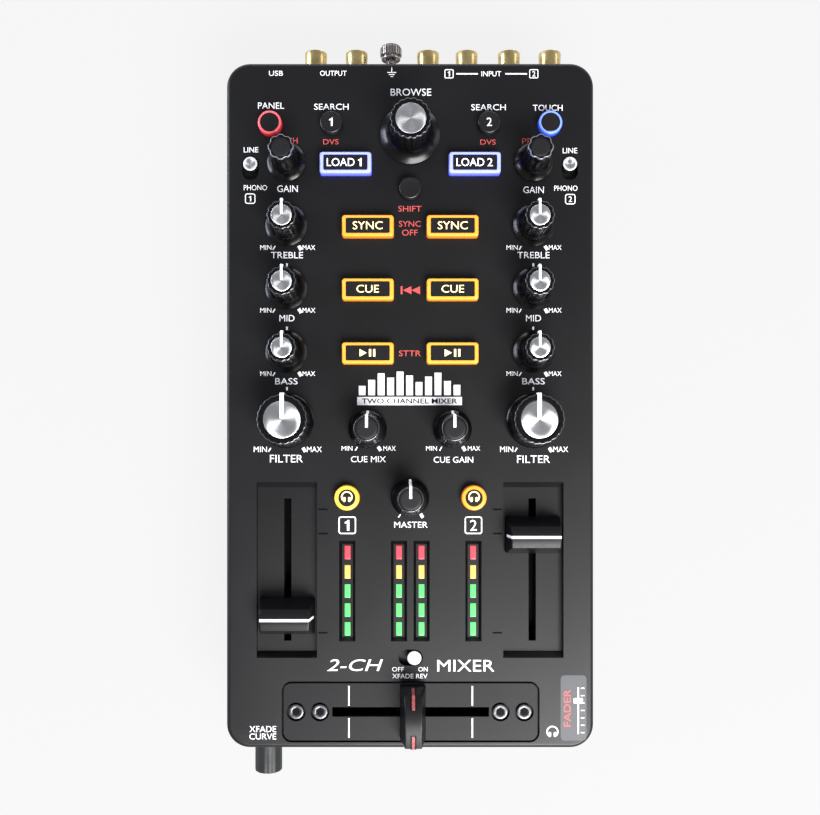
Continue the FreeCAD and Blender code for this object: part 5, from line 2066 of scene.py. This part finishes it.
    def crossfader_ticks(self, form: Form) -> None:
        """Print the end ticks on the plate, broken at the slot.

        Args:
            form: white ink.
        """
        heights = (PANEL_Z - 0.005, PANEL_Z + 0.025)
        for x in (-22.3, 22.7):
            for y in (-105.9, -117.6):
                bar(form, x, y, 0.5, 7.2, heights)

    def plaque(self, plate: Form, white: Form, red: Form) -> None:
        """Print a rounded plaque with a fader sign at the right front corner.

        Args:
            plate: grey ink.
            white: white ink.
            red: red ink.
        """
        x, y = 59.6, -110.3
        low, high = INK_Z
        plate.sweep([shifted(rounded(9.4, 23.8, 1.4, z), x, y) for z in (low, high)], INK_GREY)
        bar(white, x + 1.7, y - 1.0, 0.5, 17.0, OVERPRINT_Z)
        for i in range(7):
            bar(white, x + 3.3, y - 9.0 + 2.7 * i, 1.3, 0.35, OVERPRINT_Z)
        cap = rounded(3.4, 2.0, 0.4, 0.0, 3)
        white.slab([(px + x + 1.7, py + y + 2.6) for px, py, _ in cap], low, high + 0.03, INK_WHITE)
        tall = Label("FADER", 0, 0, 2.5, 13.5).mesh(*OVERPRINT_Z)
        upright = Matrix.Rotation(math.pi / 2, 4, "Z")
        tall.transform(Matrix.Translation(((x - 2.3) * MM, y * MM, 0)) @ upright)
        red.absorb(tall, INK_RED)

    def fader_ticks(self, form: Form) -> None:
        """Print the faint scale marks beside each fader recess.

        Args:
            form: black ink.
        """
        for side in (-1, 1):
            for y in (-37.9, -46.7, -82.9):
                bar(form, side * 31.8, y, 3.4, 0.6, finish=INK_BLACK)


# ---- studio

@dataclass(frozen=True)
class Lamp:
    """One soft rectangular light, aimed at the part."""
    name: str
    place: Point
    size: Pair
    power: float
    colour: str = "#FFFFFF"
    aim: Point = (0.0, 0.0, 0.03)

    def build(self) -> bpy.types.Object:
        """Hang the lamp and turn it to its aim.

        Returns:
            The lamp object.
        """
        data = bpy.data.lights.new(self.name, "AREA")
        data.shape = "RECTANGLE"
        data.size, data.size_y = self.size
        data.energy = self.power
        data.color = linear(self.colour)[:3]
        lamp = show(self.name, data)
        lamp.location = self.place
        lamp.rotation_euler = (Vector(self.aim) - Vector(self.place)).to_track_quat("-Z", "Y").to_euler()
        return lamp


@dataclass(frozen=True)
class Studio:
    """Camera straight above, pale floor and soft lights."""
    camera_place: Point = (-0.0044, -0.0170, 0.381)
    lens: float = 40.94
    shift: Pair = (0.0146, 0.058)
    floor_colour: str = "#F6F6F6"
    floor_glow: float = 0.955
    floor_matte: float = 0.03
    floor_reach: float = 3.0
    sky: float = 0.38
    lamps: tuple[Lamp, ...] = (
        Lamp("front_softbox", (0.26, -0.60, 0.74), (0.7, 0.5), 30.0),
        Lamp("left_strip", (-0.78, 0.17, 0.24), (0.6, 0.22), 8.0, "#E4EAFF"),
        Lamp("right_softbox", (0.9, 0.1, 0.4), (0.9, 0.3), 2.0),
        Lamp("rear_softbox", (0.05, 0.85, 0.2), (1.2, 0.2), 4.0, "#F0F3FF"),
    )

    def build(self) -> None:
        """Set up the camera, the floor, the sky and the lamps."""
        scene = bpy.context.scene
        scene.view_settings.view_transform = "Standard"
        data = bpy.data.cameras.new("camera")
        data.lens = self.lens
        data.shift_x, data.shift_y = self.shift
        data.clip_start = 0.01
        camera = show("camera", data)
        camera.location = self.camera_place
        scene.camera = camera
        self.floor()
        world = bpy.data.worlds.new("sky")
        world.use_nodes = True
        backdrop = world.node_tree.nodes["Background"]
        feed(world.node_tree, backdrop, {"Color": linear("#FFFFFF"), "Strength": self.sky})
        scene.world = world
        for lamp in self.lamps:
            lamp.build()

    def floor(self) -> None:
        """Lay a plain pale sheet that shines evenly, so that it keeps only a hint of shadow."""
        paper = bpy.data.materials.new("floor_paper")
        paper.use_nodes = True
        tree = paper.node_tree
        tree.nodes.clear()
        glow = add(tree, "ShaderNodeEmission",
                   {"Color": linear(self.floor_colour), "Strength": self.floor_glow})
        matte = add(tree, "ShaderNodeBsdfDiffuse", {"Color": linear("#FFFFFF")})
        blend = add(tree, "ShaderNodeMixShader",
                    {0: self.floor_matte, 1: glow.outputs["Emission"], 2: matte.outputs["BSDF"]})
        add(tree, "ShaderNodeOutputMaterial", {"Surface": blend.outputs["Shader"]})
        sheet = bpy.data.meshes.new("floor")
        reach = self.floor_reach
        sheet.from_pydata([(-reach, -reach, 0), (reach, -reach, 0), (reach, reach, 0), (-reach, reach, 0)],
                          [], [(0, 1, 2, 3)])
        sheet.materials.append(paper)
        show("floor", sheet)


# ---- the whole


def main() -> None:
    """Load the frame and dress it piece by piece."""
    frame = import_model()
    KeptNodes().dress(frame["nodes"])
    workshop = Workshop()
    KnobBank().build(workshop)
    CurveKnob().build(workshop)
    ButtonField().build()
    Faders().build()
    Meters().build(workshop)
    Fasteners().build(workshop)
    RearRow().build(workshop)
    Legends().build()
    Studio().build()


if __name__ == "__main__":
    main()
